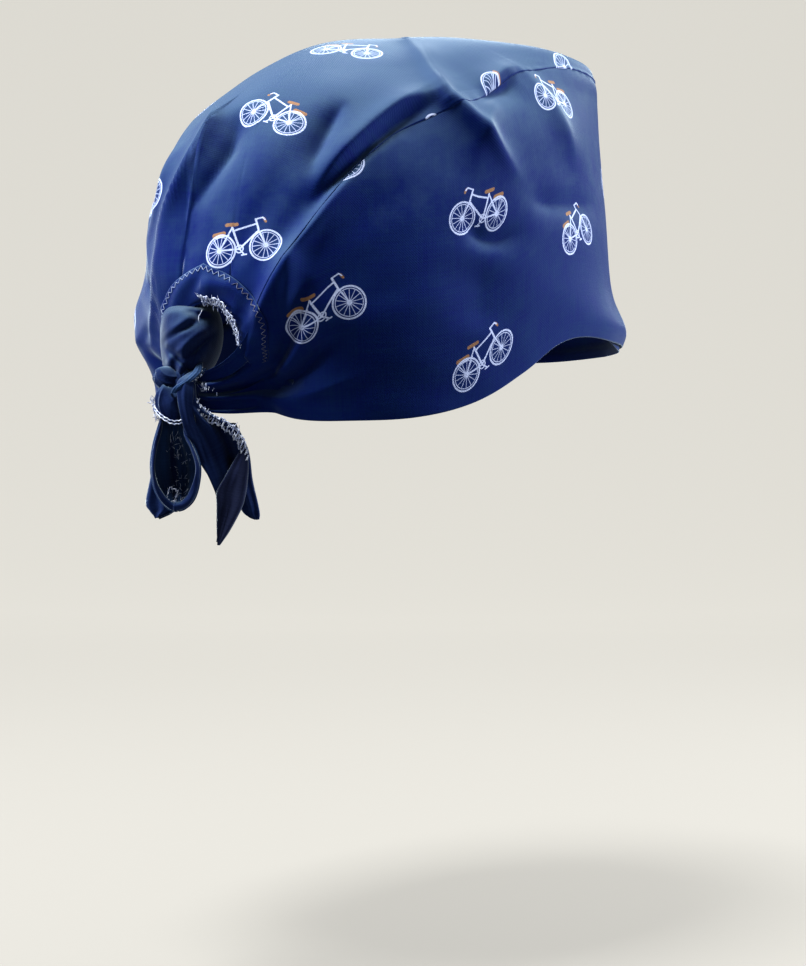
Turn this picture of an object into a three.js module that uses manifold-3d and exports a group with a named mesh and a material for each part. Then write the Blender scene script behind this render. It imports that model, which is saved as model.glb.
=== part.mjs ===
// Tie-back scrub cap of printed cotton, in the shape that it takes on a head.
// Millimetres, +Z up. The brow faces -Y and the wearer's right side is at -X.
// The origin is the centre of the head opening, level with the cap's edge over the brow.
// Azimuths are in degrees round the head: 0 over the brow, 90 over the right ear, 180 at the nape.

import * as THREE from "three";
import { mergeVertices } from "three/addons/utils/BufferGeometryUtils.js";
import Module from "manifold-3d";

const wasm = await Module();
wasm.setup();

// Driving dimensions
const HEAD_LENGTH = 200; // outside of the cap, brow to nape
const HEAD_WIDTH = 158; // outside of the cap, ear to ear
const CROWN_HEIGHT = 112; // edge over the brow to the top
const NAPE_DROP = 31.5; // how far the lowest edge lies below the edge over the brow
const CLOTH = 1.2; // wall of one piece of cloth
const GAP = 0.3; // clearance between two pieces of cloth
const FOLD_LIFT = 6; // height of the highest fold over the smooth form
const FOLD_REACH = 24; // spread of the broadest fold to each side
const GATHER_DEPTH = 1.1; // ripples where the side panel is drawn into the knot
const BROW_BAND_END = 64; // azimuth where the strip inside the front edge stops
const BROW_BAND_SHOW = 2.6; // how much of that strip hangs below the edge
const PUFF_WIDTH = 15; // gathered fold in the opening at the back
const PUFF_LIFT = 13; // how far it swells out of the opening
const KNOT_WIDTH = 17; // across the wearer's nape
const KNOT_HEIGHT = 15;
const KNOT_STANDOFF = 18; // middle of the knot outside of the nape
const WRAP_WIDTH = 8; // turn of tie round the knot
const TIE_WIDTH = 17; // free end of a tie, spread flat
const TAIL_LENGTH = 50; // middle of the knot to the lowest tip

const HALF_LENGTH = HEAD_LENGTH / 2;
const HALF_WIDTH = HEAD_WIDTH / 2;

// How the form swells and closes from the edge (first row) to the top (last row).
// height is a share of CROWN_HEIGHT, follow says how far a level goes down with the edge,
// and brow to nape are plan radii as shares of the head's ellipse.
const LEVELS = [
  { height: 0.0, follow: 1.0, brow: 1.03, corner: 1.04, side: 1.0, rear: 0.955, nape: 0.87 },
  { height: 0.06, follow: 0.85, brow: 1.04, corner: 1.055, side: 1.01, rear: 0.97, nape: 0.9 },
  { height: 0.17, follow: 0.6, brow: 0.98, corner: 1.0, side: 1.01, rear: 1.0, nape: 0.97 },
  { height: 0.33, follow: 0.3, brow: 0.96, corner: 0.975, side: 0.99, rear: 0.985, nape: 0.985 },
  { height: 0.52, follow: 0.1, brow: 0.94, corner: 0.955, side: 0.95, rear: 0.94, nape: 0.945 },
  { height: 0.69, follow: 0.0, brow: 0.92, corner: 0.94, side: 0.89, rear: 0.83, nape: 0.82 },
  { height: 0.82, follow: 0.0, brow: 0.905, corner: 0.925, side: 0.8, rear: 0.66, nape: 0.64 },
  { height: 0.905, follow: 0.0, brow: 0.89, corner: 0.912, side: 0.71, rear: 0.51, nape: 0.49 },
  { height: 0.965, follow: 0.0, brow: 0.83, corner: 0.85, side: 0.58, rear: 0.35, nape: 0.33 },
  { height: 0.99, follow: 0.0, brow: 0.52, corner: 0.54, side: 0.38, rear: 0.2, nape: 0.19 },
  { height: 1.0, follow: 0.0, brow: 0.0, corner: 0.0, side: 0.0, rear: 0.0, nape: 0.0 },
];
const STATIONS = ["brow", "corner", "side", "rear", "nape"];
const NAPE = 180; // azimuth of the nape
const STATION_STEP = NAPE / (STATIONS.length - 1);

// The cap's edge round the head. drop is a share of NAPE_DROP.
const EDGE = [
  { azimuth: 0, drop: 0.0 },
  { azimuth: 60, drop: 0.0 },
  { azimuth: 80, drop: 0.0 },
  { azimuth: 92, drop: 0.12 },
  { azimuth: 105, drop: 0.45 },
  { azimuth: 120, drop: 0.79 },
  { azimuth: 135, drop: 0.96 },
  { azimuth: 150, drop: 1.0 },
  { azimuth: 162, drop: 0.98 },
  { azimuth: 171, drop: 0.86 },
  { azimuth: 180, drop: 0.78 },
];

// The side panel's upper edge, where the crown panel is sewn on. level counts rows of LEVELS.
const SEAM = [
  { azimuth: 0, level: 7.0 },
  { azimuth: 50, level: 7.05 },
  { azimuth: 69, level: 6.85 },
  { azimuth: 84, level: 6.4 },
  { azimuth: 95, level: 6.05 },
  { azimuth: 106, level: 5.55 },
  { azimuth: 119, level: 5.0 },
  { azimuth: 138, level: 4.5 },
  { azimuth: 146, level: 4.08 },
  { azimuth: 153, level: 3.58 },
  { azimuth: 159, level: 3.05 },
  { azimuth: 166, level: 2.3 },
  { azimuth: 170, level: 1.6 },
  { azimuth: 174, level: 1.02 },
  { azimuth: 180, level: 0.75 },
];

// The hem round the opening at the back, from its foot by the tie to its highest point.
// Turns are degrees from the opening's middle. The inner edge is also the crown panel's edge there.
const OPENING_ASIDE = 2; // degrees from the nape to the middle of the opening, to the wearer's right
const OPENING_AZIMUTH = NAPE - OPENING_ASIDE;
const HEM = [
  { innerTurn: 7.6, innerLevel: 1.28, outerTurn: 9.6, outerLevel: 1.2 },
  { innerTurn: 7.2, innerLevel: 1.6, outerTurn: 12.0, outerLevel: 1.62 },
  { innerTurn: 6.3, innerLevel: 1.88, outerTurn: 12.6, outerLevel: 2.1 },
  { innerTurn: 3.8, innerLevel: 2.12, outerTurn: 7.5, outerLevel: 2.48 },
  { innerTurn: 0.0, innerLevel: 2.2, outerTurn: 0.0, outerLevel: 2.68 },
];

// Folds and hollows of the cloth, each along a path of [azimuth, level] points.
// lift is a share of FOLD_LIFT, and left and right are shares of FOLD_REACH, seen along the path.
// start and end say how much of the lift is left at the path's two ends.
const FOLDS = [
  {
    name: "nape_puff", lift: 0.8, left: 0.8, right: 0.8, start: 1, end: 1,
    path: [[173, 2.5], [186, 2.5]],
  },
  {
    name: "left_bulge", lift: 0.75, left: 0.5, right: 0.5, start: 1, end: 0.6,
    path: [[211, 2.25], [207, 1.8]],
  },
  {
    name: "right_bulge", lift: 0.4, left: 0.5, right: 0.45, start: 1, end: 0.4,
    path: [[158, 2.3], [161, 1.7]],
  },
  {
    name: "tie_pull_right", lift: 1.35, left: 0.42, right: 0.42, start: 0, end: 1,
    path: [[171, 0.7], [180, 0.5]],
  },
  {
    name: "tie_pull_left", lift: 0.9, left: 0.42, right: 0.42, start: 0, end: 0,
    path: [[189, 0.7], [180, 0.5]],
  },
  {
    name: "corner_ridge", lift: 0.5, left: 0.18, right: 0.42, start: 0.2, end: 0,
    path: [[123, 7.7], [124, 5.4], [118, 4.85], [108, 4.25], [98, 3.73]],
  },
  {
    name: "seam_ridge", lift: 0.42, left: 0.3, right: 0.2, start: 0, end: 0.5,
    path: [[137, 4.2], [148, 3.66], [155.5, 3.15], [161.5, 2.65], [166, 2.0], [169, 1.5]],
  },
  {
    name: "seam_branch", lift: 0.25, left: 0.12, right: 0.2, start: 1, end: 0,
    path: [[160, 2.7], [161.5, 1.95]],
  },
  {
    name: "seam_valley", lift: -0.5, left: 0.16, right: 0.2, start: 0, end: 0,
    path: [[124, 5.1], [138, 4.58], [147, 4.1], [155, 3.5], [162, 2.85]],
  },
  {
    name: "upper_ridge", lift: 0.5, left: 0.24, right: 0.3, start: 0.2, end: 0,
    path: [[123, 5.5], [136, 4.98], [147, 4.35], [155, 3.8], [160, 3.2]],
  },
  {
    name: "minor_hollow", lift: -0.3, left: 0.16, right: 0.25, start: 0, end: 0,
    path: [[153, 4.9], [156, 4.3], [159, 3.6]],
  },
  {
    name: "back_ridge", lift: 0.55, left: 0.35, right: 0.2, start: 0, end: 0.6,
    path: [[186, 5.6], [184, 4.6], [186, 3.8], [190, 3.1], [190, 2.6], [191, 2.0]],
  },
  {
    name: "back_hollow", lift: -0.4, left: 0.28, right: 0.28, start: 0, end: 0,
    path: [[178, 5.0], [178, 4.4], [180, 3.6]],
  },
  {
    name: "left_ridge", lift: 0.2, left: 0.25, right: 0.25, start: 0, end: 0.4,
    path: [[194, 4.9], [198, 3.8], [203, 3.0]],
  },
  {
    name: "front_fan", lift: 0.22, left: 0.3, right: 0.3, start: 0.6, end: 0,
    path: [[88, 6.2], [80, 4.8], [76, 4.0]],
  },
  {
    name: "rear_fan", lift: 0.25, left: 0.3, right: 0.4, start: 0.4, end: 0,
    path: [[103, 5.5], [116, 4.5], [121, 3.7]],
  },
  {
    name: "side_crease", lift: -0.22, left: 0.25, right: 0.2, start: 0, end: 0,
    path: [[126, 3.3], [116, 3.0], [100, 3.1]],
  },
  {
    name: "temple_crease", lift: -0.16, left: 0.3, right: 0.2, start: 0, end: 0,
    path: [[104, 3.45], [88, 3.45], [60, 3.65]],
  },
  {
    name: "side_hollow", lift: -0.3, left: 0.5, right: 0.6, start: 0, end: 0,
    path: [[119, 2.9], [119, 1.6]],
  },
  {
    name: "knot_fold_high", lift: -0.45, left: 0.14, right: 0.16, start: 0, end: 0.8,
    path: [[156, 2.5], [163, 1.6], [170, 0.85]],
  },
  {
    name: "knot_fold_low", lift: -0.35, left: 0.16, right: 0.16, start: 0, end: 0.8,
    path: [[151, 1.9], [160, 1.25], [170, 0.62]],
  },
  {
    name: "left_seam_ridge", lift: 0.25, left: 0.2, right: 0.3, start: 0, end: 0.5,
    path: [[219, 4.2], [210, 3.6], [203, 3.1], [197, 2.6], [193, 2.0]],
  },
  {
    name: "left_valley", lift: -0.4, left: 0.2, right: 0.2, start: 0, end: 0,
    path: [[228, 4.8], [217, 4.3], [208, 3.7]],
  },
  {
    name: "left_corner_ridge", lift: 0.4, left: 0.35, right: 0.2, start: 0, end: 0,
    path: [[237, 7.4], [238, 5.2], [246, 4.3], [256, 3.7]],
  },
  {
    name: "left_knot_fold", lift: -0.3, left: 0.15, right: 0.15, start: 0, end: 0.8,
    path: [[206, 2.0], [198, 1.3], [190, 0.7]],
  },
  {
    name: "left_crease", lift: -0.2, left: 0.25, right: 0.25, start: 0, end: 0,
    path: [[262, 3.3], [284, 3.5], [304, 3.3]],
  },
  {
    name: "brow_slack", lift: -0.14, left: 0.3, right: 0.3, start: 0, end: 0,
    path: [[334, 5.4], [352, 5.0], [372, 5.3]],
  },
];
const FOLD_POWER = 1.5; // 1 is a sharp crest, 2 a round one
const FOLD_FADE = 0.4; // part of a path over which the lift comes and goes
const GATHER_COUNT = 2; // ripples over the height of the side panel, by the knot
const GATHER_FADE = 9; // degrees over which they die away

// The gathered fold, from under the hem down to the knot. out is a share of PUFF_LIFT.
const PUFF = [
  { level: 2.38, width: 0.8, out: -0.34 },
  { level: 2.26, width: 0.85, out: -0.34 },
  { level: 2.12, width: 0.88, out: -0.05 },
  { level: 1.96, width: 0.95, out: 0.62 },
  { level: 1.76, width: 1.0, out: 0.98 },
  { level: 1.52, width: 0.97, out: 0.86 },
  { level: 1.3, width: 0.88, out: 0.98 },
  { level: 1.1, width: 0.62, out: 0.85 },
  { level: 0.95, width: 0.42, out: 0.75 },
];

// Free ends of the ties. down, right and out are shares of TAIL_LENGTH from the knot's middle,
// width is a share of TIE_WIDTH, and cup says how far the edges curl outwards, as a share of the width.
const TAIL_LEFT = [
  { down: 0.06, right: 0.0, out: 0.05, width: 0.42, cup: 0.25 },
  { down: 0.22, right: -0.01, out: 0.08, width: 0.62, cup: 0.34 },
  { down: 0.38, right: -0.02, out: 0.06, width: 0.84, cup: 0.42 },
  { down: 0.55, right: -0.02, out: 0.03, width: 0.95, cup: 0.42 },
  { down: 0.7, right: -0.02, out: 0.03, width: 0.82, cup: 0.36 },
  { down: 0.78, right: -0.02, out: 0.07, width: 0.5, cup: 0.2 },
  { down: 0.8, right: -0.02, out: 0.11, width: 0.22, cup: 0.1 },
];
const TAIL_LEFT_UNDER = [
  { down: 0.1, right: -0.02, out: -0.05, width: 0.3, cup: 0.05 },
  { down: 0.35, right: -0.08, out: -0.05, width: 0.6, cup: 0.1 },
  { down: 0.55, right: -0.13, out: -0.06, width: 0.85, cup: 0.1 },
  { down: 0.74, right: -0.16, out: -0.06, width: 0.8, cup: 0.08 },
  { down: 0.86, right: -0.18, out: -0.05, width: 0.22, cup: 0.0 },
];
const TAIL_RIGHT = [
  { down: 0.0, right: 0.1, out: 0.04, width: 0.5, cup: -0.1 },
  { down: 0.14, right: 0.2, out: 0.03, width: 0.8, cup: -0.12 },
  { down: 0.32, right: 0.26, out: 0.02, width: 0.95, cup: -0.2 },
  { down: 0.5, right: 0.28, out: 0.0, width: 0.95, cup: -0.26 },
  { down: 0.7, right: 0.29, out: 0.0, width: 0.76, cup: -0.24 },
  { down: 0.88, right: 0.28, out: 0.0, width: 0.42, cup: -0.15 },
  { down: 1.04, right: 0.25, out: 0.0, width: 0.1, cup: 0.0 },
];
const TAIL_RIGHT_UNDER = [
  { down: 0.2, right: 0.22, out: -0.1, width: 0.5, cup: 0.0 },
  { down: 0.4, right: 0.33, out: -0.115, width: 0.7, cup: 0.0 },
  { down: 0.6, right: 0.39, out: -0.115, width: 0.62, cup: 0.0 },
  { down: 0.77, right: 0.44, out: -0.12, width: 0.4, cup: 0.0 },
  { down: 0.88, right: 0.47, out: -0.12, width: 0.1, cup: 0.0 },
];
const TAIL_FACING = 38; // degrees that the tails' broad faces are turned towards the wearer's right

const radians = (degrees) => (degrees * Math.PI) / 180;
const clamp = (x, low, high) => Math.min(high, Math.max(low, x));
const mix = (a, b, t) => a + (b - a) * t;
const ease = (t) => t * t * (3 - 2 * t);
const column = (rows, name) => rows.map((row) => row[name]);
const steps = (count) => [...Array(count + 1).keys()];

// A smooth curve through values at rising places. It is level at both ends where flat is true.
function smoothCurve(places, values, at, flat = false) {
  const last = places.length - 1;
  const x = clamp(at, places[0], places[last]);
  let i = 0;
  while (i < last - 1 && x > places[i + 1]) i++;
  const slope = (k) => {
    if (flat && (k === 0 || k === last)) return 0;
    const a = Math.max(k - 1, 0);
    const b = Math.min(k + 1, last);
    return (values[b] - values[a]) / (places[b] - places[a]);
  };
  const span = places[i + 1] - places[i];
  const t = (x - places[i]) / span;
  const t2 = t * t;
  const t3 = t2 * t;
  return (
    (2 * t3 - 3 * t2 + 1) * values[i] +
    (t3 - 2 * t2 + t) * span * slope(i) +
    (3 * t2 - 2 * t3) * values[i + 1] +
    (t3 - t2) * span * slope(i + 1)
  );
}

// A smooth curve through one column of a table whose rows are evenly spread over 0..1.
function alongRows(rows, name, share) {
  const last = rows.length - 1;
  return smoothCurve(steps(last), column(rows, name), share * last);
}

// Azimuth folded to 0..180, because the form is the same on both sides of the head.
function foldedAzimuth(azimuth) {
  const turn = ((azimuth % 360) + 360) % 360;
  return turn > NAPE ? 360 - turn : turn;
}

const LEVEL_INDEX = steps(LEVELS.length - 1);
const TOP_LEVEL = LEVELS.length - 1;
const STATION_AZIMUTHS = steps(STATIONS.length + 1).map((i) => (i - 1) * STATION_STEP);

function radiusShare(azimuth, level) {
  const shares = STATIONS.map((name) => smoothCurve(LEVEL_INDEX, column(LEVELS, name), level));
  const around = [shares[1], ...shares, shares[shares.length - 2]];
  return smoothCurve(STATION_AZIMUTHS, around, foldedAzimuth(azimuth));
}

function edgeDrop(azimuth) {
  return NAPE_DROP * smoothCurve(column(EDGE, "azimuth"), column(EDGE, "drop"), foldedAzimuth(azimuth), true);
}

// A point of the smooth form, before folds.
function formPoint(azimuth, level) {
  const a = radians(azimuth);
  const across = HALF_LENGTH * HALF_WIDTH;
  const ellipse = across / Math.hypot(HALF_WIDTH * Math.cos(a), HALF_LENGTH * Math.sin(a));
  const radius = ellipse * radiusShare(azimuth, level);
  const height = CROWN_HEIGHT * smoothCurve(LEVEL_INDEX, column(LEVELS, "height"), level);
  const follow = smoothCurve(LEVEL_INDEX, column(LEVELS, "follow"), level);
  return new THREE.Vector3(
    -radius * Math.sin(a),
    -radius * Math.cos(a),
    height - follow * edgeDrop(azimuth),
  );
}

const NORMAL_STEP = 0.1; // levels between the two points that give the form's slope
const POLE_ZONE = 0.3; // levels below the top where the azimuth means little

function formNormal(azimuth, level) {
  if (level > TOP_LEVEL - NORMAL_STEP) return new THREE.Vector3(0, 0, 1);
  const low = clamp(level - NORMAL_STEP / 2, 0, TOP_LEVEL - POLE_ZONE);
  const up = formPoint(azimuth, low + NORMAL_STEP).sub(formPoint(azimuth, low));
  const round = formPoint(azimuth + 1, low).sub(formPoint(azimuth - 1, low));
  return up.cross(round).normalize();
}

const FOLD_SAMPLES = 14; // points along each fold's path
const foldRuns = FOLDS.map((fold) => ({
  ...fold,
  run: steps(FOLD_SAMPLES).map((k) => {
    const at = ((fold.path.length - 1) * k) / FOLD_SAMPLES;
    const places = steps(fold.path.length - 1);
    const azimuth = smoothCurve(places, column(fold.path, 0), at);
    const level = smoothCurve(places, column(fold.path, 1), at);
    return { point: formPoint(azimuth, level), normal: formNormal(azimuth, level) };
  }),
}));

// How far one fold lifts the cloth at a point of the form.
function foldHeight(fold, point) {
  let nearest = Infinity;
  let share = 0;
  let isLeft = true;
  for (let k = 0; k < FOLD_SAMPLES; k++) {
    const start = fold.run[k].point;
    const along = fold.run[k + 1].point.clone().sub(start);
    const away = point.clone().sub(start);
    const t = clamp(away.dot(along) / along.lengthSq(), 0, 1);
    const distance = away.addScaledVector(along, -t).length();
    if (distance < nearest) {
      nearest = distance;
      share = (k + t) / FOLD_SAMPLES;
      isLeft = along.cross(away).dot(fold.run[k].normal) > 0;
    }
  }
  const reach = FOLD_REACH * (isLeft ? fold.left : fold.right);
  const coming = mix(fold.start, 1, ease(clamp(share / FOLD_FADE, 0, 1)));
  const going = mix(fold.end, 1, ease(clamp((1 - share) / FOLD_FADE, 0, 1)));
  return FOLD_LIFT * fold.lift * coming * going * Math.exp(-((nearest / reach) ** FOLD_POWER));
}

// A point at some depth from the cap's folded outer face: outwards is positive.
function capPoint(azimuth, level, depth) {
  const point = formPoint(azimuth, level);
  const relief = foldRuns.reduce((sum, fold) => sum + foldHeight(fold, point), 0);
  return point.addScaledVector(formNormal(azimuth, level), depth + relief);
}

// A geometry whose faces point outwards, whichever way its grid ran.
function outward(points, faces) {
  const corner = (k) => new THREE.Vector3().fromArray(points, faces[k] * 3);
  let volume = 0;
  for (let k = 0; k < faces.length; k += 3) {
    volume += corner(k).dot(corner(k + 1).cross(corner(k + 2)));
  }
  if (volume < 0) faces.reverse();
  const geometry = new THREE.BufferGeometry();
  geometry.setAttribute("position", new THREE.Float32BufferAttribute(points, 3));
  geometry.setIndex(faces);
  return geometry;
}

// One closed piece of cloth from a grid of places. place(i, j, depth) gives the point of
// column i and row j. A closed piece joins its last column to its first, and a capped one ends in a point.
function clothPanel(columns, rows, place, { closed = false, capped = false, wall = CLOTH } = {}) {
  const points = [];
  const faces = [];
  const index = new Map();
  const vertex = (i, j, side) => {
    const round = closed ? i % columns : i;
    const key = (capped && j === rows ? "top" : round + "," + j) + "," + side;
    if (!index.has(key)) {
      index.set(key, points.length / 3);
      points.push(...place(round, j, -wall * side).toArray());
    }
    return index.get(key);
  };
  const triangle = (a, b, c) => {
    if (a !== b && b !== c && a !== c) faces.push(a, b, c);
  };
  const quad = (a, b, c, d) => {
    triangle(a, b, c);
    triangle(a, c, d);
  };
  for (let i = 0; i < columns; i++) {
    for (let j = 0; j < rows; j++) {
      quad(vertex(i, j, 0), vertex(i + 1, j, 0), vertex(i + 1, j + 1, 0), vertex(i, j + 1, 0));
      quad(vertex(i, j, 1), vertex(i, j + 1, 1), vertex(i + 1, j + 1, 1), vertex(i + 1, j, 1));
    }
    quad(vertex(i, 0, 1), vertex(i + 1, 0, 1), vertex(i + 1, 0, 0), vertex(i, 0, 0));
    if (!capped) quad(vertex(i, rows, 0), vertex(i + 1, rows, 0), vertex(i + 1, rows, 1), vertex(i, rows, 1));
  }
  for (let j = 0; j < rows && !closed; j++) {
    quad(vertex(0, j, 0), vertex(0, j + 1, 0), vertex(0, j + 1, 1), vertex(0, j, 1));
    quad(vertex(columns, j, 1), vertex(columns, j + 1, 1), vertex(columns, j + 1, 0), vertex(columns, j, 0));
  }
  return outward(points, faces);
}

const MERGE = 1e-4; // points closer than this are one

function toSolid(geometry) {
  const bare = geometry.clone();
  bare.deleteAttribute("normal");
  bare.deleteAttribute("uv");
  const merged = mergeVertices(bare, MERGE);
  const vertProperties = new Float32Array(merged.attributes.position.array);
  const triVerts = new Uint32Array(merged.index.array);
  return new wasm.Manifold(new wasm.Mesh({ numProp: 3, vertProperties, triVerts }));
}

const SLIVER = 0.05; // points of a cut piece that are closer than this become one

// The largest piece of a geometry that is left when the tools are cut out of it.
function cutAway(geometry, tools) {
  const rest = tools.reduce((left, tool) => left.subtract(toSolid(tool)), toSolid(geometry));
  const largest = rest.decompose().sort((a, b) => b.volume() - a.volume())[0];
  const mesh = largest.simplify(SLIVER).getMesh();
  const made = new THREE.BufferGeometry();
  made.setAttribute("position", new THREE.BufferAttribute(new Float32Array(mesh.vertProperties), 3));
  made.setIndex(new THREE.BufferAttribute(new Uint32Array(mesh.triVerts), 1));
  const welded = mergeVertices(made, SLIVER);
  const corners = welded.index.array;
  const faces = [];
  for (let k = 0; k < corners.length; k += 3) {
    const [a, b, c] = corners.slice(k, k + 3);
    if (a !== b && b !== c && a !== c) faces.push(a, b, c);
  }
  welded.setIndex(faces);
  return welded;
}

const SIDE_COLUMNS = 98;
const SIDE_ROWS = 8;
const SIDE_END = 176.5; // azimuth where the side panel runs into the knot
const SIDE_CROWDING = 0.24; // how much closer its columns stand at the back
const CROWN_COLUMNS = 104;
const CROWN_ROWS = 11;
const CROWN_CROWDING = 0.35;
const CROWN_ROW_POWER = 1.3; // its rows stand closer towards its edge

const seamLevel = (azimuth) =>
  smoothCurve(column(SEAM, "azimuth"), column(SEAM, "level"), foldedAzimuth(azimuth), true);

// How many levels a length along the cloth takes, at one place of the form.
const levelsOf = (length, azimuth, level) =>
  length / formPoint(azimuth, level + 0.5).distanceTo(formPoint(azimuth, Math.max(level - 0.5, 0)));

const seamMargin = (azimuth) => levelsOf(GAP * 0.75, azimuth, seamLevel(azimuth));

// The crown panel's lower edge: the seam, and the inner edge of the hem where the cap is open.
function crownEdge(azimuth) {
  const seam = seamLevel(azimuth) + seamMargin(azimuth);
  const turn = Math.abs(azimuth - OPENING_AZIMUTH);
  const rising = [...HEM].reverse();
  if (turn > HEM[0].innerTurn) return seam;
  return Math.max(seam, smoothCurve(column(rising, "innerTurn"), column(rising, "innerLevel"), turn));
}

// The ripples of the side panel near the knot, at a share of its height.
function gather(azimuth, share) {
  const wave = Math.sin(2 * Math.PI * GATHER_COUNT * share);
  return GATHER_DEPTH * wave * Math.exp((foldedAzimuth(azimuth) - SIDE_END) / GATHER_FADE);
}

function sideAzimuth(i) {
  const place = (2 * i) / SIDE_COLUMNS - 1;
  return SIDE_END * (place * (1 + SIDE_CROWDING) - SIDE_CROWDING * place ** 3);
}

function sidePoint(i, j, depth) {
  const azimuth = sideAzimuth(i);
  const share = j / SIDE_ROWS;
  const top = seamLevel(azimuth) - seamMargin(azimuth);
  return capPoint(azimuth, top * share, depth + gather(azimuth, share));
}

const sidePanel = () => clothPanel(SIDE_COLUMNS, SIDE_ROWS, sidePoint);

function crownPanel() {
  return clothPanel(
    CROWN_COLUMNS,
    CROWN_ROWS,
    (i, j, depth) => {
      const place = (2 * Math.PI * i) / CROWN_COLUMNS;
      const azimuth = (NAPE / Math.PI) * (place + CROWN_CROWDING * Math.sin(place));
      const rise = (j / CROWN_ROWS) ** CROWN_ROW_POWER;
      return capPoint(azimuth, mix(crownEdge(azimuth), TOP_LEVEL, rise), depth);
    },
    { closed: true, capped: true },
  );
}

// The strip inside the front edge, from temple to temple. It backs the side panel's lowest rows.
const BROW_BAND_COLUMNS = steps(SIDE_COLUMNS).filter((i) => Math.abs(sideAzimuth(i)) <= BROW_BAND_END);
const BROW_BAND_ROWS = 2;

function browBand() {
  return clothPanel(BROW_BAND_COLUMNS.length - 1, BROW_BAND_ROWS + 1, (i, j, depth) => {
    const row = Math.max(j - 1, 0);
    const point = sidePoint(BROW_BAND_COLUMNS[i], row, depth - CLOTH - GAP);
    if (j === 0) point.z -= BROW_BAND_SHOW;
    return point;
  });
}

// The hem strip, on top of the crown panel round the opening at the back.
const HEM_COLUMNS = 24;
const HEM_ROWS = 3;
const HEM_CLEARANCE = 1.5; // to the crown panel, whose faces are broader

function archHem() {
  return clothPanel(HEM_COLUMNS, HEM_ROWS, (i, j, depth) => {
    const place = (2 * i) / HEM_COLUMNS - 1;
    const row = (name) => alongRows(HEM, name, 1 - Math.abs(place));
    const turn = mix(row("innerTurn"), row("outerTurn"), j / HEM_ROWS) * Math.sign(place);
    const level = mix(row("innerLevel"), row("outerLevel"), j / HEM_ROWS);
    return capPoint(OPENING_AZIMUTH + turn, level, depth + CLOTH + HEM_CLEARANCE);
  });
}

// The middle of the knot, outside of the nape, and its half sizes.
const KNOT_LEVEL = 0.5;
const KNOT_ASIDE = 2.5; // to the wearer's left
const KNOT_MIDDLE = formPoint(NAPE, KNOT_LEVEL).add(new THREE.Vector3(KNOT_ASIDE, KNOT_STANDOFF, 0));
const KNOT_RADII = new THREE.Vector3(KNOT_WIDTH / 2, KNOT_WIDTH * 0.42, KNOT_HEIGHT / 2);
const KNOT_SIDES = 20;
const KNOT_RINGS = 12;

// The knot's lump, or with grow the room that it takes.
function knotLump(grow) {
  const lump = new THREE.SphereGeometry(1, KNOT_SIDES, KNOT_RINGS);
  lump.scale(KNOT_RADII.x + grow, KNOT_RADII.y + grow, KNOT_RADII.z + grow);
  lump.translate(...KNOT_MIDDLE.toArray());
  lump.deleteAttribute("normal");
  lump.deleteAttribute("uv");
  return mergeVertices(lump, MERGE);
}

const WRAP_COLUMNS = 24;
const WRAP_ROWS = 2;
const WRAP_TILT = radians(24);

// The turn of tie round the knot, or with grow the room that it takes.
function knotWrap(grow) {
  return clothPanel(
    WRAP_COLUMNS,
    WRAP_ROWS,
    (i, j, depth) => {
      const turn = (2 * Math.PI * i) / WRAP_COLUMNS;
      const side = (j / WRAP_ROWS - 0.5) * ((WRAP_WIDTH + 2 * grow) / KNOT_RADII.x);
      const direction = new THREE.Vector3(
        Math.sin(side),
        Math.cos(side) * Math.cos(turn),
        Math.cos(side) * Math.sin(turn),
      ).applyAxisAngle(new THREE.Vector3(0, 1, 0), WRAP_TILT);
      const onLump = direction.clone().multiply(KNOT_RADII);
      const normal = direction.clone().divide(KNOT_RADII).normalize();
      return onLump.addScaledVector(normal, GAP + CLOTH + depth + grow).add(KNOT_MIDDLE);
    },
    { closed: true, wall: CLOTH + 2 * grow },
  );
}

// The swollen gather in the opening, from under the hem down into the knot.
const PUFF_COLUMNS = 10;
const PUFF_ROWS = 12;
const PUFF_TUCK = 3.4; // how far its edges lie inside the opening
const PUFF_ROUNDNESS = 0.6; // 0 is a box across, 0.5 half a circle
const PUFF_ASIDE = 1; // degrees from the opening's middle to the wearer's left
const PUFF_LEAN = 4.5; // degrees that its crest leans over further

// A point of its outer face. across runs from -1 to 1 and along from 0, at the top, to 1.
function puffPoint(across, along) {
  const level = alongRows(PUFF, "level", along);
  const half = (PUFF_WIDTH / 2) * alongRows(PUFF, "width", along);
  const turn = THREE.MathUtils.radToDeg(half / HALF_LENGTH) * across;
  const out = alongRows(PUFF, "out", along);
  const dome = Math.max(1 - across * across, 0) ** PUFF_ROUNDNESS;
  const lean = PUFF_LEAN * dome ** 3 * Math.max(out, 0);
  const azimuth = OPENING_AZIMUTH + PUFF_ASIDE + turn + lean;
  return capPoint(azimuth, level, mix(-PUFF_TUCK, Math.max(PUFF_LIFT * out, -PUFF_TUCK), dome));
}

const PUFF_STEP = 0.04; // shares between the points that give its slope

function gatheredFold() {
  return clothPanel(PUFF_COLUMNS, PUFF_ROWS, (i, j, depth) => {
    const across = (2 * i) / PUFF_COLUMNS - 1;
    const along = clamp(j / PUFF_ROWS, PUFF_STEP, 1 - PUFF_STEP);
    const sideways = puffPoint(across + PUFF_STEP, along).sub(puffPoint(across - PUFF_STEP, along));
    const down = puffPoint(across, along + PUFF_STEP).sub(puffPoint(across, along - PUFF_STEP));
    const normal = sideways.cross(down).normalize();
    return puffPoint(across, j / PUFF_ROWS).addScaledVector(normal, depth);
  });
}

const TAIL_COLUMNS = 6;
const TAIL_ROWS = 10;

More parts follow.
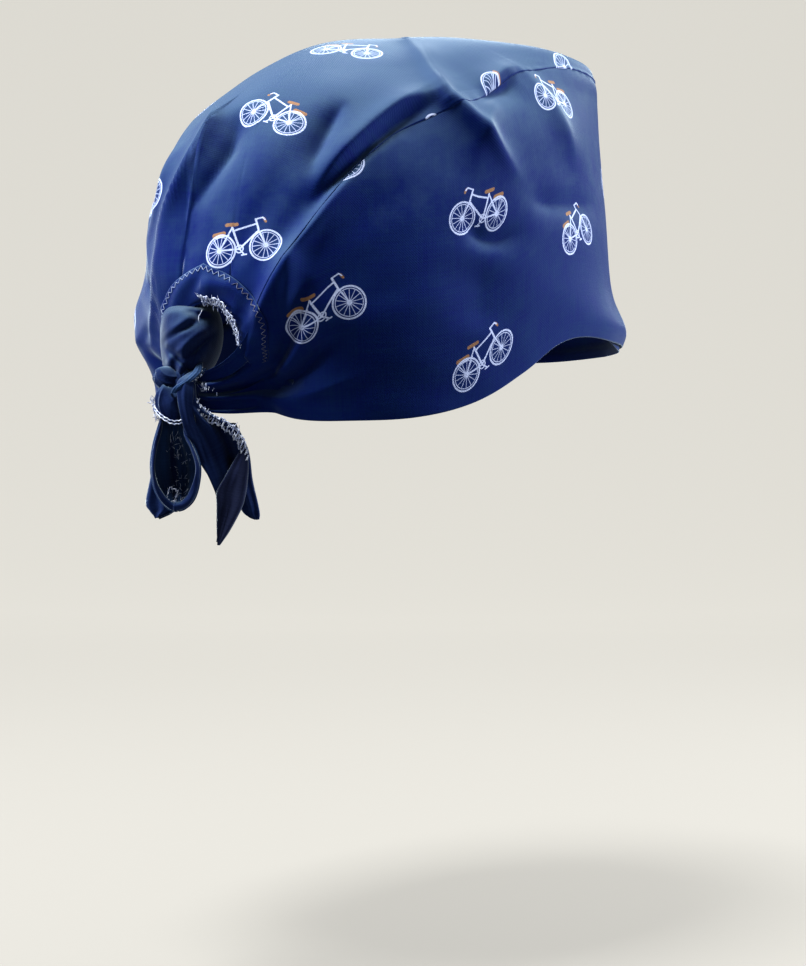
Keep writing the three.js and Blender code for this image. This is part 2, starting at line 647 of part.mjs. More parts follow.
// A free end of a tie, as a curled strip that hangs from the knot.
function tail(rows) {
  const facing = radians(TAIL_FACING);
  const right = new THREE.Vector3(-Math.cos(facing), -Math.sin(facing), 0);
  const out = new THREE.Vector3(-Math.sin(facing), Math.cos(facing), 0);
  return clothPanel(TAIL_COLUMNS, TAIL_ROWS, (i, j, depth) => {
    const row = (name) => alongRows(rows, name, j / TAIL_ROWS);
    const place = (2 * i) / TAIL_COLUMNS - 1;
    const width = TIE_WIDTH * row("width");
    const curl = width * row("cup") * place * place;
    return KNOT_MIDDLE.clone()
      .addScaledVector(right, TAIL_LENGTH * row("right") + (width / 2) * place)
      .addScaledVector(out, TAIL_LENGTH * row("out") + curl + depth)
      .add(new THREE.Vector3(0, 0, -TAIL_LENGTH * row("down")));
  });
}

// The room of the knot with its turn of tie, which every neighbour leaves free.
const knotRoom = [knotLump(GAP), knotWrap(GAP)];

const cap = new THREE.Group();

function add(name, geometry, colour) {
  const cloth = new THREE.MeshStandardMaterial({ color: colour, roughness: 0.92, metalness: 0 });
  const mesh = new THREE.Mesh(geometry, cloth);
  mesh.name = name;
  cap.add(mesh);
}

const NAVY = 0x1a2a5e;
const NAVY_LIT = 0x2a3b72; // the same cloth where it is seen from its paler inside
const NAVY_WORN = 0x3a4a78; // the hem, lighter along its overlocked edge

add("side_panel", cutAway(sidePanel(), knotRoom), NAVY);
add("crown_panel", crownPanel(), NAVY);
add("brow_band", browBand(), NAVY);
add("arch_hem", archHem(), NAVY_WORN);
add("gathered_fold", cutAway(gatheredFold(), knotRoom), NAVY_LIT);
add("knot", knotLump(0), NAVY);
add("knot_wrap", knotWrap(0), NAVY_LIT);
add("tail_left", cutAway(tail(TAIL_LEFT), knotRoom), NAVY_LIT);
add("tail_left_under", cutAway(tail(TAIL_LEFT_UNDER), knotRoom), NAVY);
add("tail_right", cutAway(tail(TAIL_RIGHT), knotRoom), NAVY);
add("tail_right_under", cutAway(tail(TAIL_RIGHT_UNDER), knotRoom), NAVY);

export default cap;
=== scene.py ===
# %% [markdown]
# # A tie-back scrub cap
#
# A scrub cap is cut from thin printed cotton. A side panel runs all round, from the nape over one
# side, the brow and the other side back to the nape, where its two ends become ties. A crown panel
# covers the top and falls to the nape, and between its hemmed edge and the knot a gather swells out.
#
# The cap keeps the shape it has when worn, so a good start is one smooth form of it. Each panel is
# then a region of that form, with the folds that the ties pull into the cloth. We repeat the form of
# the solid model here, on a much finer grid, so that the cloth lies where the solids lie.

from collections import namedtuple

import bpy
import numpy as np
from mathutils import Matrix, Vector, noise


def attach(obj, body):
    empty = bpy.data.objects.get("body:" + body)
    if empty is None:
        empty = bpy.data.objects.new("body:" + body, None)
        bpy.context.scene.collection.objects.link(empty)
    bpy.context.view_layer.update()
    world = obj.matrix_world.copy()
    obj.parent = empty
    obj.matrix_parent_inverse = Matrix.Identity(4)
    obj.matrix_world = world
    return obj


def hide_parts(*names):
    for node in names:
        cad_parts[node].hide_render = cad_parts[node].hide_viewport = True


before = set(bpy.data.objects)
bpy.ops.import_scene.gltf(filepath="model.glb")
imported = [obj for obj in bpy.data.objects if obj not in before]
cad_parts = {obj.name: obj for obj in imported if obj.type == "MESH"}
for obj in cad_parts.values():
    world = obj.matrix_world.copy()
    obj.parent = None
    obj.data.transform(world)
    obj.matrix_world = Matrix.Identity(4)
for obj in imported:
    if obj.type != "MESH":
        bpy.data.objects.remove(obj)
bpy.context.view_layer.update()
MM = 0.001
print("solids:", ", ".join(sorted(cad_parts)))

# %% [markdown]
# ## The camera
#
# The cap is seen from behind and from its right side, a little below the rim, from about 0.7 m. We
# set the camera first, because it decides how fine each grid has to be: about 2.65 pixels show a
# millimetre of cloth.

# %% Place the camera
VIEW_TURN = np.radians(38)  # from straight behind, towards the cap's right side
VIEW_DISTANCE = 0.700
VIEW_HEIGHT = -0.052
PIXELS_PER_MM = 2.65
PICTURE_WIDTH, PICTURE_HEIGHT = 806, 966
AXIS_COLUMN = 386  # picture column of the cap's axis
SENSOR_WIDTH = 36

camera = bpy.data.objects.new("camera", bpy.data.cameras.new("camera"))
bpy.context.scene.collection.objects.link(camera)
bpy.context.scene.camera = camera
look = Vector((np.sin(VIEW_TURN), -np.cos(VIEW_TURN), 0))
camera.location = -look * VIEW_DISTANCE + Vector((0, 0, VIEW_HEIGHT))
camera.rotation_euler = look.to_track_quat("-Z", "Y").to_euler()
camera.data.sensor_width = SENSOR_WIDTH
camera.data.lens = SENSOR_WIDTH * PIXELS_PER_MM * VIEW_DISTANCE / MM / PICTURE_HEIGHT
camera.data.shift_x = (PICTURE_WIDTH / 2 - AXIS_COLUMN) / PICTURE_HEIGHT
print(f"camera: {camera.data.lens:.1f} mm lens")

# %% [markdown]
# ## The form of the worn cap
#
# A table says how the form swells and closes from the edge up to the top, as shares of the cap's own
# ellipse. A smooth curve through each column of the table makes it a surface. Everything is in
# millimetres and degrees until a mesh is made, because that is how a cap is measured.

# %% The form's sizes and its table of levels
HEAD_LENGTH = 200
HEAD_WIDTH = 158
CROWN_HEIGHT = 112
NAPE_DROP = 31.5
NAPE = 180  # azimuth in degrees: 0 is the brow, 90 the right side

# height, follow, then the plan radius at the brow, corner, side, rear and nape
LEVELS = np.array([
    (0.0, 1.0, 1.03, 1.04, 1.0, 0.955, 0.87),
    (0.06, 0.85, 1.04, 1.055, 1.01, 0.97, 0.9),
    (0.17, 0.6, 0.98, 1.0, 1.01, 1.0, 0.97),
    (0.33, 0.3, 0.96, 0.975, 0.99, 0.985, 0.985),
    (0.52, 0.1, 0.94, 0.955, 0.95, 0.94, 0.945),
    (0.69, 0.0, 0.92, 0.94, 0.89, 0.83, 0.82),
    (0.82, 0.0, 0.905, 0.925, 0.8, 0.66, 0.64),
    (0.905, 0.0, 0.89, 0.912, 0.71, 0.51, 0.49),
    (0.965, 0.0, 0.83, 0.85, 0.58, 0.35, 0.33),
    (0.99, 0.0, 0.52, 0.54, 0.38, 0.2, 0.19),
    (1.0, 0.0, 0.0, 0.0, 0.0, 0.0, 0.0),
])
TOP_LEVEL = len(LEVELS) - 1

# azimuth, and how far the edge hangs down there as a share of NAPE_DROP
EDGE = np.array([
    (0, 0), (60, 0), (80, 0), (92, 0.12), (105, 0.45), (120, 0.79),
    (135, 0.96), (150, 1), (162, 0.98), (171, 0.86), (180, 0.78),
])
# azimuth, and the level of the seam between the two panels
SEAM = np.array([
    (0, 7.0), (50, 7.05), (69, 6.85), (84, 6.4), (95, 6.05), (106, 5.55), (119, 5.0), (138, 4.5),
    (146, 4.08), (153, 3.58), (159, 3.05), (166, 2.3), (170, 1.6), (174, 1.02), (180, 0.75),
])


# %% Turn the tables into a surface
def between(t, first, last, leaving, arriving):
    """A smooth way from one value to the next for t from 0 to 1, with a slope at each end."""
    return (
        (2 * t**3 - 3 * t**2 + 1) * first
        + (t**3 - 2 * t**2 + t) * leaving
        + (3 * t**2 - 2 * t**3) * last
        + (t**3 - t**2) * arriving
    )


def smooth_curve(places, values, at, flat=False):
    """A smooth curve through values at rising places; with flat it is level at both ends."""
    places, values = np.asarray(places, float), np.asarray(values, float)
    at = np.clip(at, places[0], places[-1])
    i = np.clip(np.searchsorted(places, at) - 1, 0, len(places) - 2)
    before = np.maximum(np.arange(len(places)) - 1, 0)
    after = np.minimum(np.arange(len(places)) + 1, len(places) - 1)
    slopes = ((values[after] - values[before]).T / (places[after] - places[before])).T
    if flat:
        slopes[[0, -1]] = 0
    span = places[i + 1] - places[i]
    t = (at - places[i]) / span
    extra = (...,) + (None,) * (values.ndim - 1)
    t, span = t[extra], span[extra]
    return between(t, values[i], values[i + 1], span * slopes[i], span * slopes[i + 1])


def folded(azimuth):
    """Azimuth as 0 to 180, because the form is the same on both sides."""
    turn = np.mod(azimuth, 360)
    return np.where(turn > NAPE, 360 - turn, turn)


def radius_share(azimuth, level):
    """The plan radius as a share of the cap's ellipse."""
    shares = smooth_curve(np.arange(TOP_LEVEL + 1), LEVELS[:, 2:], level)
    ring = np.concatenate([shares[..., 1:2], shares, shares[..., -2:-1]], -1)
    station = folded(azimuth) / 45 + 1
    i = np.clip(station.astype(int), 1, 4)
    t = station - i
    a, b, c, d = (np.take_along_axis(ring, (i + k)[..., None], -1)[..., 0] for k in (-1, 0, 1, 2))
    return between(t, b, c, (c - a) / 2, (d - b) / 2)


def form_point(azimuth, level):
    """Points of the smooth form, before any fold, in millimetres."""
    azimuth, level = np.broadcast_arrays(np.asarray(azimuth, float), np.asarray(level, float))
    a = np.radians(azimuth)
    half_length, half_width = HEAD_LENGTH / 2, HEAD_WIDTH / 2
    ellipse = half_length * half_width / np.hypot(half_width * np.cos(a), half_length * np.sin(a))
    radius = ellipse * radius_share(azimuth, level)
    height, follow = np.moveaxis(smooth_curve(np.arange(TOP_LEVEL + 1), LEVELS[:, :2], level), -1, 0)
    drop = NAPE_DROP * smooth_curve(EDGE[:, 0], EDGE[:, 1], folded(azimuth), flat=True)
    z = CROWN_HEIGHT * height - follow * drop
    return np.stack([-radius * np.sin(a), -radius * np.cos(a), z], -1)


def form_normal(azimuth, level):
    """The way out of the smooth form."""
    low = np.clip(np.asarray(level) - 0.05, 0, TOP_LEVEL - 0.3)
    up = form_point(azimuth, low + 0.1) - form_point(azimuth, low)
    around = form_point(np.add(azimuth, 1), low) - form_point(np.subtract(azimuth, 1), low)
    normal = np.cross(up, around)
    normal /= np.linalg.norm(normal, axis=-1, keepdims=True)
    at_top = np.clip((np.asarray(level) - (TOP_LEVEL - 0.4)) / 0.3, 0, 1)[..., None]
    normal = normal * (1 - at_top) + np.array([0, 0, 1]) * at_top
    return normal / np.linalg.norm(normal, axis=-1, keepdims=True)


def seam_level(azimuth):
    """The level of the seam between the two panels."""
    return smooth_curve(SEAM[:, 0], SEAM[:, 1], folded(azimuth), flat=True)


low_side = form_point(np.array([0.0, 90.0, 180.0]), np.zeros(3))
print("edge at the brow, right side and nape:", np.round(low_side, 1).tolist())

# %% [markdown]
# ## The folds
#
# Cloth that is tied at one corner folds along the lines of pull, and hangs slack between them. One
# could simulate this, but then the folds fall where the solver puts them. Here each fold is a path on
# the form with a height and a reach to each side, steeper on one side than on the other as a real
# fold is, so each one lies where the eye expects it.

# %% The folds of the worn cap
Fold = namedtuple("Fold", "lift left right start end path")
FOLD_LIFT = 6
FOLD_REACH = 24
FOLD_POWER = 1.5
FOLD_FADE = 0.4
FOLD_SAMPLES = 14

FOLDS = {
    "nape_puff": Fold(0.8, 0.8, 0.8, 1, 1, [(173, 2.5), (186, 2.5)]),
    "left_bulge": Fold(0.75, 0.5, 0.5, 1, 0.6, [(211, 2.25), (207, 1.8)]),
    "right_bulge": Fold(0.4, 0.5, 0.45, 1, 0.4, [(158, 2.3), (161, 1.7)]),
    "tie_pull_right": Fold(1.35, 0.42, 0.42, 0, 1, [(171, 0.7), (180, 0.5)]),
    "tie_pull_left": Fold(0.9, 0.42, 0.42, 0, 0, [(189, 0.7), (180, 0.5)]),
    "corner_ridge": Fold(
        0.5, 0.18, 0.42, 0.2, 0, [(127, 7.7), (127, 5.4), (122, 4.85), (112, 4.22), (101, 3.7)]
    ),
    "seam_ridge": Fold(
        0.42, 0.3, 0.2, 0, 0.5,
        [(137, 4.2), (148, 3.66), (155.5, 3.15), (161.5, 2.65), (166, 2.0), (169, 1.5)],
    ),
    "seam_branch": Fold(0.25, 0.12, 0.2, 1, 0, [(160, 2.7), (161.5, 1.95)]),
    "seam_valley": Fold(
        -0.34, 0.16, 0.2, 0, 0, [(124, 5.1), (138, 4.58), (147, 4.1), (155, 3.5), (162, 2.85)]
    ),
    "upper_ridge": Fold(
        0.5, 0.24, 0.3, 0.2, 0, [(123, 5.5), (136, 4.98), (147, 4.35), (155, 3.8), (160, 3.2)]
    ),
    "minor_hollow": Fold(-0.3, 0.16, 0.25, 0, 0, [(153, 4.9), (156, 4.3), (159, 3.6)]),
    "back_ridge": Fold(
        0.55, 0.35, 0.2, 0, 0.6,
        [(186, 5.6), (184, 4.6), (186, 3.8), (190, 3.1), (190, 2.6), (191, 2.0)],
    ),
    "back_hollow": Fold(-0.4, 0.28, 0.28, 0, 0, [(178, 5.0), (178, 4.4), (180, 3.6)]),
    "left_ridge": Fold(0.2, 0.25, 0.25, 0, 0.4, [(194, 4.9), (198, 3.8), (203, 3.0)]),
    "front_fan": Fold(0.22, 0.3, 0.3, 0.6, 0, [(88, 6.2), (80, 4.8), (76, 4.0)]),
    "rear_fan": Fold(0.25, 0.3, 0.4, 0.4, 0, [(103, 5.5), (116, 4.5), (121, 3.7)]),
    "side_crease": Fold(-0.22, 0.25, 0.2, 0, 0, [(126, 3.3), (116, 3.0), (100, 3.1)]),
    "temple_crease": Fold(-0.16, 0.3, 0.2, 0, 0, [(104, 3.45), (88, 3.45), (60, 3.65)]),
    "side_hollow": Fold(-0.3, 0.5, 0.6, 0, 0, [(119, 2.9), (119, 1.6)]),
    "knot_fold_high": Fold(-0.45, 0.14, 0.16, 0, 0.8, [(156, 2.5), (163, 1.6), (170, 0.85)]),
    "knot_fold_low": Fold(-0.35, 0.16, 0.16, 0, 0.8, [(151, 1.9), (160, 1.25), (170, 0.62)]),
    "left_seam_ridge": Fold(
        0.25, 0.2, 0.3, 0, 0.5, [(219, 4.2), (210, 3.6), (203, 3.1), (197, 2.6), (193, 2.0)]
    ),
    "left_valley": Fold(-0.4, 0.2, 0.2, 0, 0, [(228, 4.8), (217, 4.3), (208, 3.7)]),
    "left_corner_ridge": Fold(
        0.4, 0.35, 0.2, 0, 0, [(237, 7.4), (238, 5.2), (246, 4.3), (256, 3.7)]
    ),
    "left_knot_fold": Fold(-0.3, 0.15, 0.15, 0, 0.8, [(206, 2.0), (198, 1.3), (190, 0.7)]),
    "left_crease": Fold(-0.2, 0.25, 0.25, 0, 0, [(262, 3.3), (284, 3.5), (304, 3.3)]),
    "brow_slack": Fold(-0.14, 0.3, 0.3, 0, 0, [(334, 5.4), (352, 5.0), (372, 5.3)]),
}


# %% How far the folds lift the cloth
def ease(t):
    """Rises from 0 to 1 with t, softly at both ends."""
    t = np.clip(t, 0, 1)
    return t * t * (3 - 2 * t)


def fold_relief(points, folds, power=FOLD_POWER):
    """The lift of all these folds together at points of the form, in millimetres."""
    relief = np.zeros(points.shape[:-1])
    for fold in folds.values():
        path = np.array(fold.path, float)
        at = np.linspace(0, len(path) - 1, FOLD_SAMPLES + 1)
        run_azimuth, run_level = (smooth_curve(np.arange(len(path)), path[:, k], at) for k in (0, 1))
        run, out = form_point(run_azimuth, run_level), form_normal(run_azimuth, run_level)
        start, along = run[:-1], np.diff(run, axis=0)
        away = points[..., None, :] - start
        t = np.clip((away * along).sum(-1) / (along**2).sum(-1), 0, 1)
        distance = np.linalg.norm(away - t[..., None] * along, axis=-1)
        k = distance.argmin(-1)
        nearest = np.take_along_axis(distance, k[..., None], -1)[..., 0]
        share = (k + np.take_along_axis(t, k[..., None], -1)[..., 0]) / FOLD_SAMPLES
        sideways = np.cross(along[k], points - start[k])
        is_left = (sideways * out[k]).sum(-1) > 0
        reach = FOLD_REACH * np.where(is_left, fold.left, fold.right)
        coming = fold.start + (1 - fold.start) * ease(share / FOLD_FADE)
        going = fold.end + (1 - fold.end) * ease((1 - share) / FOLD_FADE)
        relief += FOLD_LIFT * fold.lift * coming * going * np.exp(-((nearest / reach) ** power))
    return relief


print(f"folds: {len(FOLDS)}")

# %% [markdown]
# The solids carry the broad folds. The cloth also has sharp crests and narrow creases beside them, and
# between the folds it is never quite smooth: small wrinkles run out from the knot and fade with
# distance. Seeded noise in the direction from the knot gives those.

# %% Sharp crests, creases and small wrinkles
CRESTS = {
    "corner_crest": Fold(
        0.34, 0.34, 0.11, 0.3, 0,
        [(129.5, 7.6), (127.5, 5.25), (123, 4.85), (112.5, 4.2), (102, 3.7)],
    ),
    "corner_hollow": Fold(-0.34, 0.11, 0.2, 0, 0, [(117, 4.95), (109, 5.3), (101, 5.6), (94, 5.9)]),
    "front_lip": Fold(0.3, 0.2, 0.11, 0, 0, [(114, 5.4), (106, 5.75), (97.5, 6.15), (88, 6.5)]),
    "front_crest": Fold(0.17, 0.18, 0.26, 0.5, 0, [(91, 6.3), (86, 5.5), (82, 4.85), (79, 4.3)]),
    "rear_crest": Fold(
        0.16, 0.2, 0.11, 0.3, 0, [(103, 5.65), (111, 5.0), (116, 4.55), (120.5, 4.05)]
    ),
    "upper_crest": Fold(
        0.36, 0.11, 0.16, 0.2, 0, [(125.5, 5.15), (138.5, 4.85), (151, 4.05), (158.5, 3.4)]
    ),
    "upper_crease": Fold(
        -0.2, 0.11, 0.11, 0, 0, [(126, 4.98), (140, 4.58), (151, 3.85), (159, 3.2)]
    ),
    "seam_crest": Fold(
        0.34, 0.11, 0.14, 0.2, 0.3,
        [(139, 4.32), (145.5, 4.0), (152.5, 3.52), (159.5, 2.92), (164, 2.45), (168, 1.85), (171, 1.4)],
    ),
    "branch_crest": Fold(0.16, 0.11, 0.11, 1, 0, [(160.5, 2.75), (161, 2.3), (161.5, 1.9)]),
    "minor_crease": Fold(
        -0.24, 0.11, 0.14, 0, 0, [(151, 5.0), (154, 4.7), (156.5, 4.15), (157.5, 3.55)]
    ),
    "back_crest": Fold(
        0.44, 0.11, 0.3, 0, 0.3,
        [(196, 5.8), (187, 5.0), (183.5, 4.55), (186, 3.8), (191.5, 3.25), (191.5, 2.7)],
    ),
    "back_dark": Fold(-0.4, 0.3, 0.11, 0, 0, [(179.5, 4.9), (178, 4.3), (181, 3.7), (185, 3.2)]),
    "back_edge": Fold(
        0.22, 0.11, 0.12, 0.5, 0, [(191.5, 2.8), (194, 2.4), (198.5, 2.1), (202.5, 1.7)]
    ),
    "left_crest": Fold(0.18, 0.12, 0.25, 0, 0, [(201.5, 5.0), (197.5, 3.8), (204, 3.1)]),
    "left_nick": Fold(-0.2, 0.11, 0.11, 0.4, 0, [(206, 2.75), (200, 2.6), (194, 2.45)]),
    "side_nick": Fold(-0.16, 0.12, 0.11, 0, 0, [(124.5, 3.4), (120, 3.1), (114, 3.0), (104, 3.15)]),
    "temple_nick": Fold(-0.12, 0.14, 0.11, 0, 0, [(104, 3.5), (89, 3.48), (60, 3.65)]),
    "knot_crease_high": Fold(
        -0.34, 0.11, 0.11, 0, 1, [(157, 2.6), (159.5, 2.3), (164, 1.6), (171, 0.8)]
    ),
    "knot_crest_middle": Fold(
        0.2, 0.11, 0.11, 0, 1, [(153, 2.2), (159, 1.75), (164, 1.3), (171, 0.72)]
    ),
    "knot_crease_low": Fold(
        -0.3, 0.11, 0.11, 0, 1, [(149, 1.95), (156, 1.6), (163, 1.05), (171, 0.6)]
    ),
    "knot_crest_low": Fold(
        0.18, 0.11, 0.11, 0, 1, [(143, 1.3), (153, 1.05), (162, 0.72), (171, 0.45)]
    ),
    "left_knot_crease": Fold(-0.28, 0.11, 0.11, 0, 1, [(207, 1.9), (200, 1.4), (190, 0.75)]),
    "left_knot_crest": Fold(0.2, 0.11, 0.11, 0, 1, [(212, 1.3), (202, 0.95), (190, 0.5)]),
}
CREST_POWER = 1.5
CREST_SHARE = 1.3
WRINKLE_TURN = 6.5  # how many wrinkles stand in a radian round the knot
WRINKLE_LENGTH = 55
WRINKLE_LIFT = (0.55, 1.0, 45)  # everywhere, more at the knot, and how soon that fades
DIMPLE_LENGTH = 17
DIMPLE_LIFT = 0.3
KNOT_PLACE = (2.5, 105, -20)  # where the wrinkles run together


def noise_at(points):
    """Smooth noise at each point, from about -1 to 1."""
    flat = [noise.noise(Vector(point)) for point in points.reshape(-1, 3).tolist()]
    return np.array(flat).reshape(points.shape[:-1])


def wrinkles(points):
    """The small unevenness of the cloth, in millimetres."""
    away = points - np.array(KNOT_PLACE)
    distance = np.linalg.norm(away, axis=-1, keepdims=True)
    rays = away / distance * WRINKLE_TURN + np.array([0, 0, 1]) * distance / WRINKLE_LENGTH
    everywhere, more, fade = WRINKLE_LIFT
    lift = everywhere + more * np.exp(-distance[..., 0] / fade)
    return lift * noise_at(rays) + DIMPLE_LIFT * noise_at(points / DIMPLE_LENGTH)


def cap_point(azimuth, level, depth=0.0):
    """A point of the folded cap. Depth is outwards, in millimetres."""
    point = form_point(azimuth, level)
    crests = CREST_SHARE * fold_relief(point, CRESTS, CREST_POWER)
    lift = fold_relief(point, FOLDS) + crests + wrinkles(point) + depth
    return point + lift[..., None] * form_normal(azimuth, level)


print(f"crests and creases: {len(CRESTS)}")

# %% [markdown]
# ## Cutting the panels on a fine grid
#
# A panel could be the solid's own mesh, made finer, but its edges would stay square and its faces flat.
# A sewn edge is never a bare cut: the cloth turns under and comes back up inside. So each panel here
# is one long strip of rows: a turned-under hem inside, a small round edge, the outer face, and a
# second round edge with the seam allowance inside. Solidify then gives the strip its thickness.
#
# Each vertex also gets a map in millimetres along the cloth, which the weave and the print need.

# %% Helpers that make a mesh from a grid of points
THICKNESS = 0.5  # of one layer, a little more than real cotton so that it lights well
TURN = 0.6  # radius of a turned edge
INSIDE = -2 * TURN - 0.15  # how deep the cloth lies that is turned inside


def along(points, axis):
    """How far each point lies along its row or column, in millimetres."""
    gaps = np.linalg.norm(np.diff(points, axis=axis), axis=-1)
    start = np.zeros_like(np.take(gaps, [0], axis=axis))
    return np.concatenate([start, np.cumsum(gaps, axis=axis)], axis=axis)


def grid_mesh(name, points, cloth_map, closed=False, flip=False):
    """A mesh object from a grid (column, row, xyz) in millimetres. Its face looks outwards where
    the columns run round with the azimuth and the rows run up, or the other way with flip."""
    columns, rows = points.shape[:2]
    index = np.arange(columns * rows).reshape(columns, rows)
    if closed:
        index = np.concatenate([index, index[:1]])
        cloth_map = np.concatenate([cloth_map, cloth_map[:1]])
    corners = [(slice(None, -1), slice(None, -1)), (slice(None, -1), slice(1, None)),
               (slice(1, None), slice(1, None)), (slice(1, None), slice(None, -1))]
    if flip:
        corners.reverse()
    quads = np.stack([index[c] for c in corners], -1).reshape(-1, 4)
    mesh = bpy.data.meshes.new(name)
    mesh.from_pydata((points.reshape(-1, 3) * MM).tolist(), [], quads.tolist())
    layer = mesh.uv_layers.new(name="cloth")
    corner_maps = np.stack([cloth_map[c] for c in corners], 2) * MM
    layer.uv.foreach_set("vector", corner_maps.astype(np.float32).ravel())
    mesh.shade_smooth()
    piece = bpy.data.objects.new(name, mesh)
    bpy.context.scene.collection.objects.link(piece)
    return piece


def thicken(piece, thickness=THICKNESS):
    """Gives a strip of cloth its thickness, inwards from its outer face."""
    solidify = piece.modifiers.new("thickness", "SOLIDIFY")
    solidify.thickness = thickness * MM
    solidify.offset = -1
    return piece


# %% [markdown]
# The rows of a panel are given by a share of the way up, a length along the cloth beyond that, and a
# depth. That is enough for a hem, a round edge and a face, whatever the panel's height is there.

# %% The rows of a panel
SEAM_TURN = 0.18  # radius of the side panel's edge at the seam, where it lies under the crown's
FACE_ROWS = 86
FACE = [(share, TURN - (TURN + SEAM_TURN) * share, 0) for share in np.linspace(0, 1, FACE_ROWS)]
HALF_TURN = np.linspace(0, np.pi, 7)[1:-1]
LOWER_TURN = [(0, TURN - TURN * np.sin(a), -TURN - TURN * np.cos(a)) for a in HALF_TURN]
UPPER_TURN = [(1, SEAM_TURN * (np.sin(a) - 1), SEAM_TURN * (np.cos(a) - 1)) for a in HALF_TURN]


def inside_rows(share, length, count=6):
    """Rows of the cloth that is turned inside: up from the lower edge, or down from the upper one."""
    away = np.linspace(TURN, length, count)
    return [(share, a if share == 0 else -a, INSIDE) for a in away]


def row_table(rows):
    """The share, the length and the depth of every row, each ready to spread over the columns."""
    return np.array(rows, float).T[:, None, :]


def panel_points(azimuths, low, high, rows, ripple=None, longest_hem=0.4):
    """The grid of a panel between two edges, each given as a level at every azimuth."""
    share, length, depth = row_table(rows)
    azimuth = np.broadcast_to(azimuths[:, None], (len(azimuths), len(rows)))
    level = low[:, None] * (1 - share) + high[:, None] * share
    below, above = np.clip(level - 0.1, 0, TOP_LEVEL), np.clip(level + 0.1, 0, TOP_LEVEL)
    step = np.linalg.norm(form_point(azimuth, above) - form_point(azimuth, below), axis=-1)
    height = np.linalg.norm(form_point(azimuths, high) - form_point(azimuths, low), axis=-1)[:, None]
    length = np.clip(length, -longest_hem * height, longest_hem * height)
    level = np.clip(level + length * (above - below) / step, 0, TOP_LEVEL)
    if ripple is not None:
        depth = depth + ripple(azimuth, share)
    return cap_point(azimuth, level, depth)


def strip_map(points, middle_row, edge_row):
    """A map of a strip in millimetres: round the cap along one row, and up each column."""
    around = along(points[:, middle_row : middle_row + 1], 0)
    up = along(points, 1)
    return np.stack([np.broadcast_to(around, up.shape), up - up[:, edge_row : edge_row + 1]], -1)


# %% [markdown]
# ## Measuring from the knot
#
# What hangs at the nape is best measured as one sees it there: how far to the right, how far up and
# how far out from the middle of the knot. The side panel's ends run to that point too.

# %% Measure from the knot
TIES_FACING = np.radians(38)
KNOT = form_point(180, 0.5) + np.array([2.5, 18, 0])
KNOT_RIGHT = np.array([-np.cos(TIES_FACING), -np.sin(TIES_FACING), 0])
KNOT_OUT = np.array([-np.sin(TIES_FACING), np.cos(TIES_FACING), 0])
UP = np.array([0, 0, 1])


def from_knot(right, up, out):
    """Points in millimetres from lengths measured at the knot."""
    right, up, out = np.broadcast_arrays(right, up, out)
    return KNOT + right[..., None] * KNOT_RIGHT + out[..., None] * KNOT_OUT + up[..., None] * UP


# %% [markdown]
# ## The side panel
#
# The side panel is tall over the brow and narrows into the tie at the nape. Its columns stand closer
# at the back, where the cloth is drawn together, and ripple there.

# %% Cut the side panel
SIDE_END = 176.5  # azimuth where it runs into the knot
SIDE_CROWDING = 0.24
SIDE_COLUMNS = 451
GATHER_DEPTH = 1.1
GATHER_COUNT = 2
GATHER_FADE = 9
DRAWN_FROM = 167  # azimuth from which the two ends leave the form and run to the knot
DRAWN_PLEATS = (1.7, 3)  # their height and their count
DRAWN_ROUND = 1.5  # how round the ends are across, from edge to edge
DRAWN_HANG = 2.4  # how far their lower edge hangs on its way
DRAWN_SWELL = 1.5  # how far they stand out on their way
# right, low, high and out of the two ends where they enter the knot
DRAWN_ENDS = {1: (1.0, -6.2, 5.0, 1.0), -1: (-5.0, -5.0, 5.5, -3.5)}

side_place = np.linspace(-1, 1, SIDE_COLUMNS)
side_azimuths = SIDE_END * (side_place * (1 + SIDE_CROWDING) - SIDE_CROWDING * side_place**3)
side_rows = inside_rows(0, 12)[::-1] + LOWER_TURN + FACE + UPPER_TURN + inside_rows(1, 7)


def gather(azimuth, share):
    """Ripples where the side panel is drawn into the knot."""
    wave = np.sin(2 * np.pi * GATHER_COUNT * share)
    return GATHER_DEPTH * wave * np.exp((folded(azimuth) - SIDE_END) / GATHER_FADE)


def drawn_in(points, azimuths, rows):
    """The panel's grid with both ends drawn off the form and into the knot."""
    share, length, depth = row_table(rows)
    pull = ease((folded(azimuths) - DRAWN_FROM) / (SIDE_END - DRAWN_FROM))[:, None]
    sign = np.sign(azimuths)[:, None]
    right, low, high, out = (
        np.where(sign > 0, DRAWN_ENDS[1][k], DRAWN_ENDS[-1][k]) for k in range(4)
    )
    up = low + np.clip((high - low) * share + length * 0.5, 0, high - low)
    height, count = DRAWN_PLEATS
    ends = from_knot(right, up, out + depth - DRAWN_ROUND * (2 * share - 1) ** 2)
    hang = np.sin(np.pi * pull)
    pleat = height * hang * np.sin(2 * np.pi * count * share + 1.5 * sign)
    hanging = -DRAWN_HANG * hang * (1 - share)
    drawn = points * (1 - pull[..., None]) + ends * pull[..., None]
    return drawn + (pleat + DRAWN_SWELL * hang)[..., None] * KNOT_OUT + hanging[..., None] * UP


side_top = seam_level(side_azimuths)
side_points = panel_points(side_azimuths, 0 * side_azimuths, side_top, side_rows, gather)
side_points = drawn_in(side_points, side_azimuths, side_rows)
side_map = strip_map(side_points, side_rows.index(FACE[30]), 8)
side_cloth = grid_mesh("side_cloth", side_points, side_map)
thicken(side_cloth)

# %% [markdown]
# ## The crown panel
#
# The crown is one piece from the brow's corners to the opening at the nape. Its lower edge follows the
# seam, and at the nape the inner edge of the hem, given by a short table.

# %% Cut the crown panel
OPENING = 178  # azimuth of the middle of the opening
